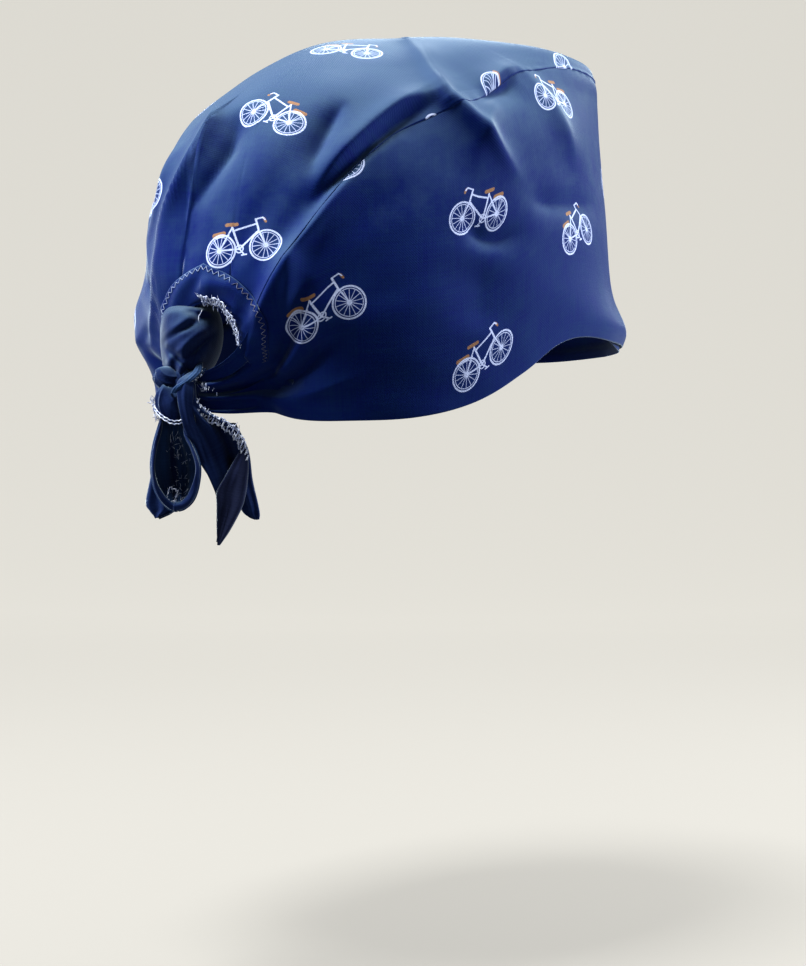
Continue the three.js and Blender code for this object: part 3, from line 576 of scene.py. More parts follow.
# inner turn and level, outer turn and level: degrees from the opening's middle, from foot to top
HEM = np.array([
    (6.0, 1.28, 9.6, 1.2),
    (5.8, 1.6, 12.0, 1.62),
    (5.4, 1.88, 12.6, 2.1),
    (3.4, 2.12, 7.5, 2.48),
    (0.0, 2.2, 0.0, 2.68),
])
CROWN_CROWDING = 0.35
CROWN_COLUMNS, CROWN_ROWS = 408, 110
SEAM_LAP = 0.03  # how far the crown laps the side panel at the seam, in levels
LIP = (0.3, 3.5)  # how far the crown's edge stands up at the seam, and how soon that fades
PUCKER = 0.12

crown_turns = np.linspace(0, 2 * np.pi, CROWN_COLUMNS, endpoint=False)
crown_azimuths = np.degrees(crown_turns + CROWN_CROWDING * np.sin(crown_turns))
crown_rise = np.linspace(0, 1, CROWN_ROWS) ** 1.3
crown_rows = inside_rows(0, 7)[::-1] + LOWER_TURN + [(r, TURN * (1 - r), 0) for r in crown_rise]


def crown_edge(azimuth):
    """The level of the crown panel's lower edge."""
    turn = np.abs(azimuth - OPENING)
    inner = smooth_curve(HEM[::-1, 0], HEM[::-1, 1], turn)
    seam = seam_level(azimuth) - SEAM_LAP
    return np.where(turn > HEM[0, 0], seam, np.maximum(seam, inner))


def lip(azimuth, share):
    """The crown's edge stands a little proud at the seam and puckers along it."""
    away = share * CROWN_HEIGHT
    pucker = PUCKER * np.sin(0.9 * azimuth + 3 * np.sin(0.21 * azimuth))
    return (LIP[0] + pucker) * np.exp(-((away / LIP[1]) ** 2))


crown_points = panel_points(
    crown_azimuths, crown_edge(crown_azimuths), np.full(len(crown_azimuths), TOP_LEVEL), crown_rows,
    lip, longest_hem=0.1,
)


# %% [markdown]
# The side panel's grid is a good map by itself, but a dome has no such grid. Blender's unwrap could
# flatten it, yet it creases the map round the opening. The real panel is cut as one long piece from
# the nape over the top to the brow, so we roll it out that way: along its middle line, and across
# from that line to both sides.

# %% Give the crown a map in millimetres
ROLL_MIDDLE = (4, 6)  # y and z of the axis about which the crown is rolled out


def rolled_out(points):
    """How far across from the middle line, and how far along it from the nape, in millimetres."""
    nape, brow = np.linspace(0, TOP_LEVEL, 60), np.linspace(TOP_LEVEL - 0.1, 4, 40)
    line = np.concatenate([form_point(NAPE, nape), form_point(0, brow)])
    run = along(line[None], 1)[0]
    turn = np.arctan2(line[:, 2] - ROLL_MIDDLE[1], line[:, 1] - ROLL_MIDDLE[0])
    y, z = points[..., 1] - ROLL_MIDDLE[0], points[..., 2] - ROLL_MIDDLE[1]
    reach = np.hypot(y, z)
    across = -np.hypot(reach, points[..., 0]) * np.arctan2(points[..., 0], reach)
    return np.stack([across, np.interp(np.arctan2(z, y), turn, run)], -1)


crown_map = rolled_out(crown_points)
crown_cloth = grid_mesh("crown_cloth", crown_points, crown_map, closed=True)
thicken(crown_cloth)

# %% [markdown]
# ## Recipes for materials
#
# A material is a small graph of nodes. Each helper adds one node and hands back its output, so that a
# recipe reads like a sum. All patterns are laid out on the cloth's own map, in millimetres, and so
# they follow the cloth over every fold.

# %% Helpers that add one node each
class Recipe:
    """Adds nodes to a tree. A number, a vector or another node's output may feed each input."""

    def __init__(self, tree):
        self.tree = tree

    def feed(self, node, inputs):
        """Links or sets the inputs of a node."""
        for key, value in inputs.items():
            if isinstance(value, bpy.types.NodeSocket):
                self.tree.links.new(value, node.inputs[key])
            else:
                node.inputs[key].default_value = value

    def add(self, kind, inputs, output=0, **settings):
        """A new node. One of its outputs comes back, or all of them where output is None."""
        node = self.tree.nodes.new("ShaderNode" + kind)
        for name, value in settings.items():
            setattr(node, name, value)
        self.feed(node, inputs)
        return node.outputs if output is None else node.outputs[output]

    def parts(self, vector):
        """The x, y and z of a vector."""
        return self.add("SeparateXYZ", {0: vector}, None)

    def math(self, operation, *values):
        """A sum, product or other operation on numbers."""
        return self.add("Math", dict(enumerate(values)), operation=operation)

    def vector(self, operation, *values, output=0):
        """The same on vectors. Output 1 is a number, such as a length."""
        return self.add("VectorMath", dict(enumerate(values)), output, operation=operation)

    def scaled(self, vector, factor):
        """A vector times a number."""
        return self.add("VectorMath", {0: vector, "Scale": factor}, operation="SCALE")

    def noise(self, vector, scale, detail=2.0, roughness=0.5):
        """Noise at a point, as a number about 0.5."""
        settings = {"Vector": vector, "Scale": scale, "Detail": detail, "Roughness": roughness}
        return self.add("TexNoise", settings)

    def spread(self, value, low, high, new_low=0.0, new_high=1.0):
        """A value from low..high moved to new_low..new_high, and held there."""
        ends = {"Value": value, 1: low, 2: high, 3: new_low, 4: new_high}
        return self.add("MapRange", ends)

    def blend(self, factor, first, second):
        """A colour between two colours."""
        ends = {"Factor": factor, 6: first, 7: second}
        return self.add("Mix", ends, output=2, data_type="RGBA")


def new_group(name, inputs, outputs):
    """A node group from vectors to numbers: its recipe, what comes in, and its output node."""
    tree = bpy.data.node_groups.new(name, "ShaderNodeTree")
    for socket in inputs:
        tree.interface.new_socket(socket, in_out="INPUT", socket_type="NodeSocketVector")
    for socket in outputs:
        tree.interface.new_socket(socket, in_out="OUTPUT", socket_type="NodeSocketFloat")
    return Recipe(tree), tree.nodes.new("NodeGroupInput").outputs, tree.nodes.new("NodeGroupOutput")


def new_material(name):
    """A material, its recipe and its Principled shader."""
    material = bpy.data.materials.new(name)
    material.use_nodes = True
    return material, Recipe(material.node_tree), material.node_tree.nodes["Principled BSDF"]


def plain(name, colour, roughness, sheen=0.0):
    """A material of one colour."""
    material, recipe, shader = new_material(name)
    recipe.feed(shader, {"Base Color": colour, "Roughness": roughness, "Sheen Weight": sheen})
    return material


# %% [markdown]
# ## The print
#
# The cloth is scattered with small pale line drawings. Ours is a bicycle of our own, drawn with a few
# strokes and rings as a table of lengths in millimetres. A node group measures how far a point of the
# cloth lies from the drawing, which stays crisp at any distance. A picture would blur.

# %% The strokes of the drawing
REAR_HUB, FRONT_HUB, CRANK = (-8.0, -3.2), (8.0, -3.2), (-1.2, -3.4)
SEAT_TOP, HEAD_TOP, HEAD_FOOT = (-3.3, 4.2), (4.9, 5.0), (5.6, 2.4)
# start, end and half of the width
PALE_STROKES = [
    (REAR_HUB, CRANK, 0.3),
    (REAR_HUB, SEAT_TOP, 0.26),
    (CRANK, SEAT_TOP, 0.34),
    (CRANK, HEAD_FOOT, 0.34),
    ((-2.9, 3.0), HEAD_TOP, 0.3),
    ((4.5, 6.6), HEAD_FOOT, 0.34),
    (HEAD_FOOT, (6.6, 0.2), 0.28),
    ((6.6, 0.2), FRONT_HUB, 0.26),
    ((4.5, 6.6), (6.9, 7.1), 0.26),
    ((6.9, 7.1), (7.7, 6.2), 0.26),
    (CRANK, (0.6, -5.6), 0.24),
    ((-0.3, -5.7), (1.4, -5.7), 0.26),
    ((-10.8, 1.6), (-4.6, 1.6), 0.22),
    ((-10.6, 1.6), REAR_HUB, 0.16),
]
TAN_STROKES = [
    ((-5.4, 5.4), (-1.7, 5.2), 0.62),
    (SEAT_TOP, (-3.6, 5.2), 0.3),
    ((7.4, 6.6), (8.0, 5.4), 0.42),
    ((-10.4, 2.6), (-6.4, 2.6), 0.75),
]
# centre, radius and half of the width
RINGS = [
    (REAR_HUB, 5.4, 0.3), (REAR_HUB, 4.6, 0.13), (REAR_HUB, 0.7, 0.3),
    (FRONT_HUB, 5.4, 0.3), (FRONT_HUB, 4.6, 0.13), (FRONT_HUB, 0.6, 0.3),
    (CRANK, 1.3, 0.22),
]
SPOKES = 14
SPOKE_HALF = 0.1
SPOKE_REACH = 4.6


# %% Measure the distance to a stroke
def stroke_group():
    """A node group: how far a point lies from a straight stroke."""
    recipe, inputs, output = new_group("stroke", ("Point", "Start", "Along"), ["Distance"])
    point, start, run = (inputs[k] for k in range(3))
    away = recipe.vector("SUBTRACT", point, start)
    dot = recipe.vector("DOT_PRODUCT", away, run, output=1)
    square = recipe.vector("DOT_PRODUCT", run, run, output=1)
    share = recipe.add("Math", {0: dot, 1: square}, operation="DIVIDE", use_clamp=True)
    nearest = recipe.scaled(run, share)
    recipe.feed(output, {0: recipe.vector("DISTANCE", away, nearest, output=1)})
    return recipe.tree


STROKE = stroke_group()


def nearest_of(recipe, distances):
    """The least of several distances."""
    least = distances[0]
    for other in distances[1:]:
        least = recipe.math("MINIMUM", least, other)
    return least


def stroke_distance(recipe, point, start, end, half):
    """How far a point lies outside of a stroke; it is below zero on the stroke."""
    inputs = {0: point, 1: (*start, 0), 2: (end[0] - start[0], end[1] - start[1], 0)}
    return recipe.math("SUBTRACT", recipe.add("Group", inputs, node_tree=STROKE), half)


def ring_distance(recipe, point, centre, radius, half):
    """How far a point lies outside of a ring's line."""
    away = recipe.vector("DISTANCE", point, (*centre, 0), output=1)
    return recipe.math("SUBTRACT", recipe.math("ABSOLUTE", recipe.math("SUBTRACT", away, radius)), half)


def spoke_distance(recipe, point, centre):
    """How far a point lies outside of a wheel's spokes."""
    away = recipe.vector("SUBTRACT", point, (*centre, 0))
    x, y, _ = recipe.parts(away)
    angle = recipe.math("ARCTAN2", y, x)
    wave = recipe.math("ABSOLUTE", recipe.math("SINE", recipe.math("MULTIPLY", angle, SPOKES / 2)))
    reach = recipe.vector("LENGTH", away, output=1)
    beside = recipe.math("MULTIPLY", recipe.math("MULTIPLY", wave, reach), 2 / SPOKES)
    spoke = recipe.math("SUBTRACT", beside, SPOKE_HALF)
    return recipe.math("MAXIMUM", spoke, recipe.math("SUBTRACT", reach, SPOKE_REACH))


# %% [markdown]
# The drawings stand in rows, every other column half a step lower, and each turns a little and faces
# the other way than its neighbour. The group finds the nearest place of that layout and moves the
# point into the drawing's own measure.

# %% Lay the drawings out on the cloth
PRINT_STEP = (58, 50)  # millimetres between columns, and between the drawings of a column
PRINT_TILT = (14, -9)  # degrees, in turn


def print_group():
    """A node group: the pale and the tan share of the print at a point of the cloth."""
    recipe, inputs, output = new_group("bicycle print", ["Point"], ("Pale", "Tan"))
    cloth_x, cloth_y, _ = recipe.parts(inputs[0])
    across = recipe.math("DIVIDE", cloth_x, PRINT_STEP[0])
    column = recipe.math("FLOOR", across)
    lower = recipe.math("MULTIPLY", recipe.math("FLOORED_MODULO", column, 2), 0.5)
    up = recipe.math("ADD", recipe.math("DIVIDE", cloth_y, PRINT_STEP[1]), lower)
    row = recipe.math("FLOOR", up)
    odd = recipe.math("FLOORED_MODULO", recipe.math("ADD", column, row), 2)
    x, y = (
        recipe.math("MULTIPLY", recipe.math("SUBTRACT", recipe.math("SUBTRACT", at, cell), 0.5), step)
        for at, cell, step in ((across, column, PRINT_STEP[0]), (up, row, PRINT_STEP[1]))
    )
    facing = recipe.spread(odd, 0, 1, -1, 1)
    tilt = recipe.spread(odd, 0, 1, np.radians(PRINT_TILT[0]), np.radians(PRINT_TILT[1]))
    place = recipe.add("CombineXYZ", {0: x, 1: y, 2: 0.0})
    turned = recipe.add("VectorRotate", {"Vector": place, "Angle": tilt}, rotation_type="Z_AXIS")
    own_x, own_y, _ = recipe.parts(turned)
    point = recipe.add("CombineXYZ", {0: recipe.math("MULTIPLY", own_x, facing), 1: own_y, 2: 0.0})
    pale = nearest_of(recipe, [
        *(stroke_distance(recipe, point, *stroke) for stroke in PALE_STROKES),
        *(ring_distance(recipe, point, *ring) for ring in RINGS),
        *(spoke_distance(recipe, point, hub) for hub in (REAR_HUB, FRONT_HUB)),
    ])
    tan = nearest_of(recipe, [stroke_distance(recipe, point, *stroke) for stroke in TAN_STROKES])
    recipe.feed(output, {k: recipe.spread(line, 0.1, -0.1) for k, line in enumerate((pale, tan))})
    return recipe.tree


PRINT = print_group()
strokes = len(PALE_STROKES) + len(TAN_STROKES)
print(f"print: {strokes} strokes, {len(RINGS)} rings, {len(PRINT.nodes)} nodes")

# %% [markdown]
# ## The cotton
#
# Plain-weave cotton has about 25 threads to the centimetre. From arm's length one sees less of the
# weave than of its unevenness: thick and thin yarns, a mottled dye, and a soft bloom where light
# grazes the fibres. The colour is also painted paler and greyer where the cloth faces up and where it
# lies high, most of all on the crown; that is painted light, for the light from above. So the recipe
# has a fine weave for the bump, longer streaks for the yarns, a mottle for the dye, painted light by
# height and by the way the cloth faces, and a sheen on the shader.

# %% Mix the cotton
THREAD = 0.42  # millimetres between threads
SHEEN = 0.3
NAVY = (0.0002, 0.003, 0.084, 1)
NAVY_WORN = (0.005, 0.025, 0.083, 1)
# painted light: the paler, greyer navy painted where the cloth faces up and lies high
NAVY_PAINTED_LIGHT = (0.064, 0.112, 0.15, 1)
PALE_INK = (0.34, 0.4, 0.6, 1)
TAN_INK = (0.19, 0.11, 0.065, 1)


def cotton(name, dye=NAVY, worn=NAVY_WORN, printed=False, shift=(0, 0), painted_light=0.42):
    """A cotton, plain or printed. shift moves the print along the cloth, in millimetres. The last
    argument says how far the cloth is painted paler where it faces up and lies high: painted light.
    """
    material, recipe, shader = new_material(name)
    cloth = recipe.add("UVMap", {}, uv_map="cloth")
    place = recipe.scaled(cloth, 1 / MM)
    threads = [
        recipe.math("SINE", recipe.math("MULTIPLY", way, np.pi / THREAD))
        for way in recipe.parts(place)[:2]
    ]
    weave = recipe.math("MULTIPLY", *threads)
    streak = [
        recipe.noise(recipe.vector("MULTIPLY", place, stretch), 1.0, 3.0)
        for stretch in ((1.6, 0.05, 1), (0.05, 1.6, 1))
    ]
    yarns = recipe.math("ADD", *streak)
    mottle = recipe.noise(place, 0.09, 4.0, 0.65)
    fleck = recipe.noise(place, 1.3, 2.0)
    lightness = recipe.math(
        "ADD", recipe.math("MULTIPLY", yarns, 0.45), recipe.math("MULTIPLY", mottle, 0.7)
    )
    colour = recipe.blend(recipe.spread(lightness, 0.5, 1.15, 0.1, 0.8), dye, worn)
    # Painted light: the colour is blended towards a paler, greyer navy where the cloth faces up and
    # where it lies high, with a little of the mottle, in place of the light from above.
    facing, height = (
        recipe.parts(recipe.add("NewGeometry", {}, name))[2] for name in ("Normal", "Position")
    )
    painted_light_measure = recipe.math("ADD", facing, recipe.math("MULTIPLY", mottle, 0.5))
    painted_light_measure = recipe.math("ADD", painted_light_measure, recipe.spread(height, -0.03, 0.09, -0.3, 0.15))
    painted_light_share = recipe.spread(painted_light_measure, 0.3, 1.0, 0, painted_light)
    colour = recipe.blend(painted_light_share, colour, NAVY_PAINTED_LIGHT)
    if printed:
        moved = recipe.vector("ADD", place, (*shift, 0))
        pale, tan = recipe.add("Group", {0: moved}, None, node_tree=PRINT)
        wear = recipe.spread(fleck, 0.25, 0.5, 0.6, 1.0)
        for share, ink in ((tan, TAN_INK), (pale, PALE_INK)):
            colour = recipe.blend(recipe.math("MULTIPLY", share, wear), colour, ink)
    relief = recipe.math(
        "ADD", recipe.math("MULTIPLY", weave, 0.5),
        recipe.math("ADD", recipe.math("MULTIPLY", yarns, 0.9), recipe.math("MULTIPLY", fleck, 0.6)),
    )
    recipe.feed(shader, {
        "Base Color": colour,
        "Roughness": recipe.spread(recipe.math("ADD", fleck, weave), 0.0, 1.6, 0.72, 0.92),
        "Normal": recipe.add("Bump", {"Height": relief, "Strength": 0.35, "Distance": 0.12 * MM}),
        "Specular IOR Level": 0.04,
        "Sheen Weight": SHEEN,
        "Sheen Roughness": 0.35,
        "Sheen Tint": (0.75, 0.92, 1, 1),
    })
    return material


def dress(piece, material, slot, *nodes):
    """Gives a piece its material, and sets it in the frame in place of these solids. slot is not used.
    """
    piece.data.materials.append(material)
    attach(piece, "root")
    if nodes:
        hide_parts(*nodes)
    return piece


side_cotton = cotton("printed cotton, side panel", printed=True, shift=(21, 9))
crown_cotton = cotton("printed cotton, crown panel", printed=True, shift=(12, 20))
dress(side_cloth, side_cotton, "printed_cotton", "side_panel")
dress(crown_cloth, crown_cotton, "printed_cotton", "crown_panel")


# %% [markdown]
# ## The brow band
#
# A strip of plain cloth backs the front edge from one front corner to the other, and a sliver of it
# hangs below the edge. It follows the side panel's inside at a small distance.

# %% Cut the brow band
BROW_BAND_END = 64
BROW_BAND_TAPER = 14  # degrees over which its ends taper
BROW_BAND_SHOW = (0.2, 2.6)  # how far it hangs below the edge, at its ends and in front
BROW_BAND_HEIGHT = 15
BROW_BAND_DEPTH = -1.5

band_azimuths = np.linspace(-BROW_BAND_END, BROW_BAND_END, 200)
band_rows = inside_rows(0, BROW_BAND_HEIGHT, 16)[::-1]
band_rows = [(share, length, BROW_BAND_DEPTH) for share, length, _ in band_rows]
flat_level = 0 * band_azimuths
band_points = panel_points(band_azimuths, flat_level, flat_level + 7, band_rows)[:, ::-1]
taper = ease((BROW_BAND_END - np.abs(band_azimuths)) / BROW_BAND_TAPER)
shown = BROW_BAND_SHOW[0] + (BROW_BAND_SHOW[1] - BROW_BAND_SHOW[0]) * taper
below = band_points[:, :1] - UP * (shown[:, None] * np.linspace(1, 0.15, 4))[..., None]
band_points = np.concatenate([below, band_points], 1)
band_map = strip_map(band_points, 8, 0)
brow_cloth = grid_mesh("brow_cloth", band_points, band_map)
thicken(brow_cloth)
dress(brow_cloth, cotton("plain cotton"), "brow_cotton", "brow_band")

# %% [markdown]
# ## Threads
#
# Sewing thread and frayed yarn are thin tubes along lines. Curve objects would do, but one mesh of
# many tubes is lighter, and every stray fibre can be its own short line. An overlocked edge is three
# threads: one runs along the edge, one along the inner line, and one loops between them. Bits of
# yarn have worked loose from it.

# %% Helpers for threads
THREAD_SIDES = 6
# length of a loop in millimetres, then its middle and its swing as shares of the edge's width
OVERLOCK_THREADS = ((2.3, 0.12, 0.14), (2.7, 0.88, 0.12), (1.9, 0.5, 0.5))
draw = np.random.default_rng(17)


def tubes(name, lines, radius, material, slot):
    """One mesh of thin tubes along lines of points in millimetres. radius may be one per line."""
    radii = np.broadcast_to(radius, len(lines))
    corners, faces, start = [], [], 0
    ring = np.linspace(0, 2 * np.pi, THREAD_SIDES, endpoint=False)
    for line, thick in zip(lines, radii):
        line = np.asarray(line, float)
        ahead = np.gradient(line, axis=0)
        ahead /= np.maximum(np.linalg.norm(ahead, axis=1, keepdims=True), 1e-9)
        side = np.cross(ahead, KNOT_OUT + 0.3 * UP)
        side /= np.maximum(np.linalg.norm(side, axis=1, keepdims=True), 1e-9)
        other = np.cross(ahead, side)
        taper = np.minimum(1, 0.35 + np.minimum(np.arange(len(line)), np.arange(len(line))[::-1]) / 3)
        wall = side[:, None] * np.cos(ring)[:, None] + other[:, None] * np.sin(ring)[:, None]
        corners.append((line[:, None] + wall * (thick * taper)[:, None, None]).reshape(-1, 3))
        for k in range(len(line) - 1):
            for a in range(THREAD_SIDES):
                b = (a + 1) % THREAD_SIDES
                row, above = start + k * THREAD_SIDES, start + (k + 1) * THREAD_SIDES
                faces.append((row + a, row + b, above + b, above + a))
        faces.append(tuple(start + a for a in range(THREAD_SIDES))[::-1])
        last = start + (len(line) - 1) * THREAD_SIDES
        faces.append(tuple(last + a for a in range(THREAD_SIDES)))
        start += len(line) * THREAD_SIDES
    mesh = bpy.data.meshes.new(name)
    mesh.from_pydata((np.concatenate(corners) * MM).tolist(), [], faces)
    mesh.shade_smooth()
    piece = bpy.data.objects.new(name, mesh)
    bpy.context.scene.collection.objects.link(piece)
    return dress(piece, material, slot)


def resampled(line, step):
    """The line with a point at every step of its length."""
    run = along(np.asarray(line)[None], 1)[0]
    at = np.linspace(0, run[-1], max(3, int(run[-1] / step)))
    return np.stack([np.interp(at, run, np.asarray(line)[:, k]) for k in range(3)], 1), at


def overlock(line, across, out, width, strays, reach):
    """Looping threads along an edge, and stray fibres. across and out are the ways over it."""
    rough_line, across = np.asarray(line), np.broadcast_to(across, np.shape(line))
    line, at = resampled(rough_line, 0.16)
    count = len(line)
    old = along(rough_line[None], 1)[0]
    across = np.stack([np.interp(at, old, across[:, k]) for k in range(3)], 1)
    out = np.broadcast_to(out, line.shape)
    threads = []
    for k, (pitch, middle, swing) in enumerate(OVERLOCK_THREADS):
        wander = np.cumsum(draw.normal(0, 0.09, count))
        phase = 2 * np.pi * at / pitch + 2 * k + wander
        over = width * (middle + swing * np.sin(phase) + 0.1 * np.sin(0.37 * phase + k))
        lift = 0.35 + 0.35 * np.cos(phase) + 0.2 * np.sin(0.61 * phase)
        threads.append(line + across * over[:, None] + out * lift[:, None])
    for _ in range(strays):
        here = draw.integers(count)
        start = line[here] + across[here] * width * draw.uniform(-0.2, 1.1)
        way = across[here] * draw.normal(0, 1) + out[0] * draw.uniform(-0.2, 0.5)
        way += UP * draw.normal(-0.2, 1)
        way *= draw.uniform(0.4, 1.0) * reach / np.linalg.norm(way)
        bend = draw.normal(0, 0.35, 3) * reach
        t = np.linspace(0, 1, 7)[:, None]
        threads.append(start + out[0] * 0.5 + way * t + bend * t * (1 - t))
    return threads


thread, thread_recipe, thread_shader = new_material("pale thread")
yarn_place = thread_recipe.add("TexCoord", {}, output=3)
yarn = thread_recipe.noise(yarn_place, 900.0, 2.0)
shade = thread_recipe.blend(
    thread_recipe.spread(yarn, 0.35, 0.65), (0.1, 0.14, 0.3, 1), (0.5, 0.56, 0.7, 1)
)
thread_bump = thread_recipe.add("Bump", {"Height": yarn, "Strength": 0.4, "Distance": 0.1 * MM})
thread_recipe.feed(
    thread_shader, {"Base Color": shade, "Normal": thread_bump, "Roughness": 0.75, "Sheen Weight": SHEEN}
)
worn_thread = plain("worn thread", (0.22, 0.28, 0.43, 1), 0.8)
navy_thread = plain("navy thread", (0.006, 0.014, 0.08, 1), 0.6, 0.6)

# %% [markdown]
# ## The hem round the opening
#
# Round the opening the crown's edge has a hem: a strip whose outer edge is sewn down with a zigzag
# and whose inner edge is overlocked and frays. We lay the strip flat on the crown, with soft ripples
# along it, and draw its threads from its own edges.

# %% Lay the hem strip
HEM_LIFT = 0.4  # the strip's outer face over the crown's
HEM_PUFF = 1.0  # how far it bulges between its two edges

hem_across = np.linspace(-0.04, 1, 29)
hem_along = np.linspace(-1, 1, 221)


def hem_place(place, across):
    """Azimuth and level on the hem: place runs from foot to foot, across from its inner edge."""
    share = (1 - np.abs(place)) * (len(HEM) - 1)
    rows = smooth_curve(np.arange(len(HEM)), HEM, share)
    turn = (rows[..., 0] * (1 - across) + rows[..., 2] * across) * np.sign(place)
    return OPENING + turn, rows[..., 1] * (1 - across) + rows[..., 3] * across


def hem_point(place, across, lift=0.0):
    """A point on the outer face of the hem strip."""
    place, across = np.broadcast_arrays(np.asarray(place, float), np.asarray(across, float))
    azimuth, level = hem_place(place, across)
    middle = np.sin(np.pi * np.clip(across, 0, 1))
    ripple = 0.7 * np.sin(9 * place + 6 * across + 1.5 * np.sin(5 * place)) * middle
    inner = -1.2 * np.clip(0.12 - across, 0, 1) / 0.12
    return cap_point(azimuth, level, HEM_LIFT + HEM_PUFF * middle + ripple + inner + lift)


hem_grid = hem_point(hem_along[:, None], hem_across[None, :])
hem_map = strip_map(hem_grid, 12, 0)
hem_cloth = grid_mesh("hem_cloth", hem_grid, hem_map)
thicken(hem_cloth)
dress(hem_cloth, cotton("hem cotton"), "hem_cotton", "arch_hem")

# %% Sew the zigzag and fray the inner edge
ZIGZAG_STITCHES = 24  # in a unit of the hem's run, which is half its length
ZIGZAG_PLACE, ZIGZAG_SWING = 0.9, 0.06  # across the hem
FRAYED = (-0.74, 0.05)  # where along the hem its inner edge frays
FRAY_WIDTH, FRAY_STRAYS, FRAY_REACH = 3.4, 60, 2.4


def zigzag(start, end):
    """The zigzag along the hem from one place to another."""
    count = int((end - start) * ZIGZAG_STITCHES) * 2
    stitch = np.linspace(start, end, count + 1)
    swing = ZIGZAG_PLACE + ZIGZAG_SWING * np.where(np.arange(count + 1) % 2, 1, -1)
    line = hem_point(np.repeat(stitch, 2)[1:-1], np.repeat(swing, 2)[1:-1], 0.15)
    return resampled(line, 0.4)[0]


hem_zigzag = tubes("hem_zigzag", [zigzag(-0.22, 0.5)], 0.1, worn_thread, "hem_cotton")
hem_tacking = tubes(
    "hem_zigzag_navy", [zigzag(-0.92, -0.24), zigzag(0.52, 0.92)], 0.13, navy_thread, "hem_cotton"
)

frayed_places = np.linspace(*FRAYED, 90)
frayed_edge = hem_point(frayed_places, -0.02, 1.6)
inward = hem_point(frayed_places, 0.3, 0.1) - hem_point(frayed_places, 0, 0.1)
inward /= np.linalg.norm(inward, axis=-1, keepdims=True)
frayed = overlock(frayed_edge, inward, KNOT_OUT, FRAY_WIDTH, FRAY_STRAYS, FRAY_REACH)
hem_fray = tubes("hem_fray", frayed, [0.22] * 3 + [0.11] * FRAY_STRAYS, thread, "hem_cotton")
print(f"threads at the hem: {len(frayed) + 1}")

# %% [markdown]
# ## Strips at the nape
#
# A strip of tie is a table of rows, each with its height, its left and right edge, and how far out its
# left, middle and right lie. A smooth curve through the rows gives a strip that bends as cloth does.
# Lengthwise pleats and furrows are added to the middle, so that both edges stay where the table says.

# %% Helpers for a strip of tie
def smooth_rows(rows, lines):
    """The columns of a table of rows, each drawn out to a smooth run of lines."""
    table = smooth_curve(np.arange(len(rows)), rows, np.linspace(0, len(rows) - 1, lines))
    return table.T[:, None, :]


def strip_points(rows, columns=41, lines=90, edge=0.8, pleats=(0.0, 3.0, 0.0), furrows=()):
    """A strip from a table of (up, left, right, out at left, middle and right), from the top.

    edge is how far both long edges turn away behind. pleats are lengthwise waves: their height, count
    and wander. Each furrow has a place across, a width, a depth, and the share of the run where it
    starts and ends."""
    up, left, right, out_left, out_middle, out_right = smooth_rows(rows, lines)
    place = np.linspace(-1, 1, columns)[:, None]
    out = (
        out_middle + (out_right - out_left) / 2 * place
        + ((out_left + out_right) / 2 - out_middle) * place**2
    )
    height, count, wander = pleats
    across = (right - left) / 2
    run = np.linspace(0, 1, lines)[None, :]
    wave = np.sin(np.pi * count * place + wander * np.sin(7 * run) + 2.1 * run)
    out = out + height * wave * np.minimum(across / 4, 1) * (1 - place**6)
    for middle, width, depth, start, end in furrows:
        here = ease((run - start) / 0.12) * ease((end - run) / 0.12)
        out = out - depth * here * np.exp(-(((place - middle) / width) ** 2))
    out = out - edge * np.clip((np.abs(place) - 0.86) / 0.14, 0, 1) ** 2
    return from_knot((left + right) / 2 + across * place, up, out)


def tie_strip(name, rows, material, node=None, wall=0.7, **shape):
    """A strip of tie as a piece with thickness. Its own points come back, for its threads."""
    points = strip_points(rows, **shape)
    piece = grid_mesh(name, points, strip_map(points, 0, 0))
    thicken(piece, wall)
    dress(piece, material, "tie_cotton", *([node] if node else []))
    return points


# Painted light: the last number of each is how far that cloth is painted paler where it faces up.
tie_cotton, tie_inside, tie_turned = (
    cotton(name, dye, worn, painted_light=painted_light)
    for name, dye, worn, painted_light in (
        ("tie cotton", (0.0006, 0.0028, 0.032, 1), (0.012, 0.03, 0.1, 1), 0.36),
        ("tie cotton, inner side", (0.003, 0.012, 0.045, 1), (0.022, 0.055, 0.15, 1), 0.2),
        ("tie cotton, turned over", (0.003, 0.005, 0.024, 1), (0.016, 0.022, 0.055, 1), 0.2),
    )
)

# %% [markdown]
# ## The free ends of the ties
#
# Each tie ends in two layers that have slipped apart. The left end is a cupped leaf that shows its
# paler inside and has a dark rolled rim. The right end has an overlocked edge at its top, a deep
# furrow beside it, and turns over on itself towards its tip.

# %% Cut the tails
LEFT_TAIL = [
    (-9.5, -6.5, 0.5, 2.5, 1.0, 2.5),
    (-14.5, -7.9, 0.8, 4.0, 0.4, 4.0),
    (-20.0, -9.2, 3.6, 5.2, -1.2, 5.4),
    (-26.5, -9.9, 5.8, 5.6, -2.6, 6.0),
    (-33.0, -9.1, 5.3, 5.2, -2.2, 5.6),
    (-37.6, -7.0, 3.6, 4.6, 0.4, 4.8),
    (-40.2, -4.6, 0.9, 3.6, 3.0, 3.8),
    (-41.0, -3.1, -1.3, 3.4, 3.4, 3.4),
]
LEFT_UNDER = [
    (-8.0, -6.5, -1.0, -1.0, -0.5, -1.0),
    (-20.0, -10.0, -0.5, -2.5, -2.0, -2.6),
    (-30.0, -11.6, -0.8, -3.2, -2.6, -3.0),
    (-38.5, -13.2, -1.4, -3.4, -2.6, -3.0),
    (-41.6, -11.8, -3.2, -3.2, -2.8, -3.0),
    (-43.8, -9.8, -8.4, -3.0, -3.0, -3.0),
]
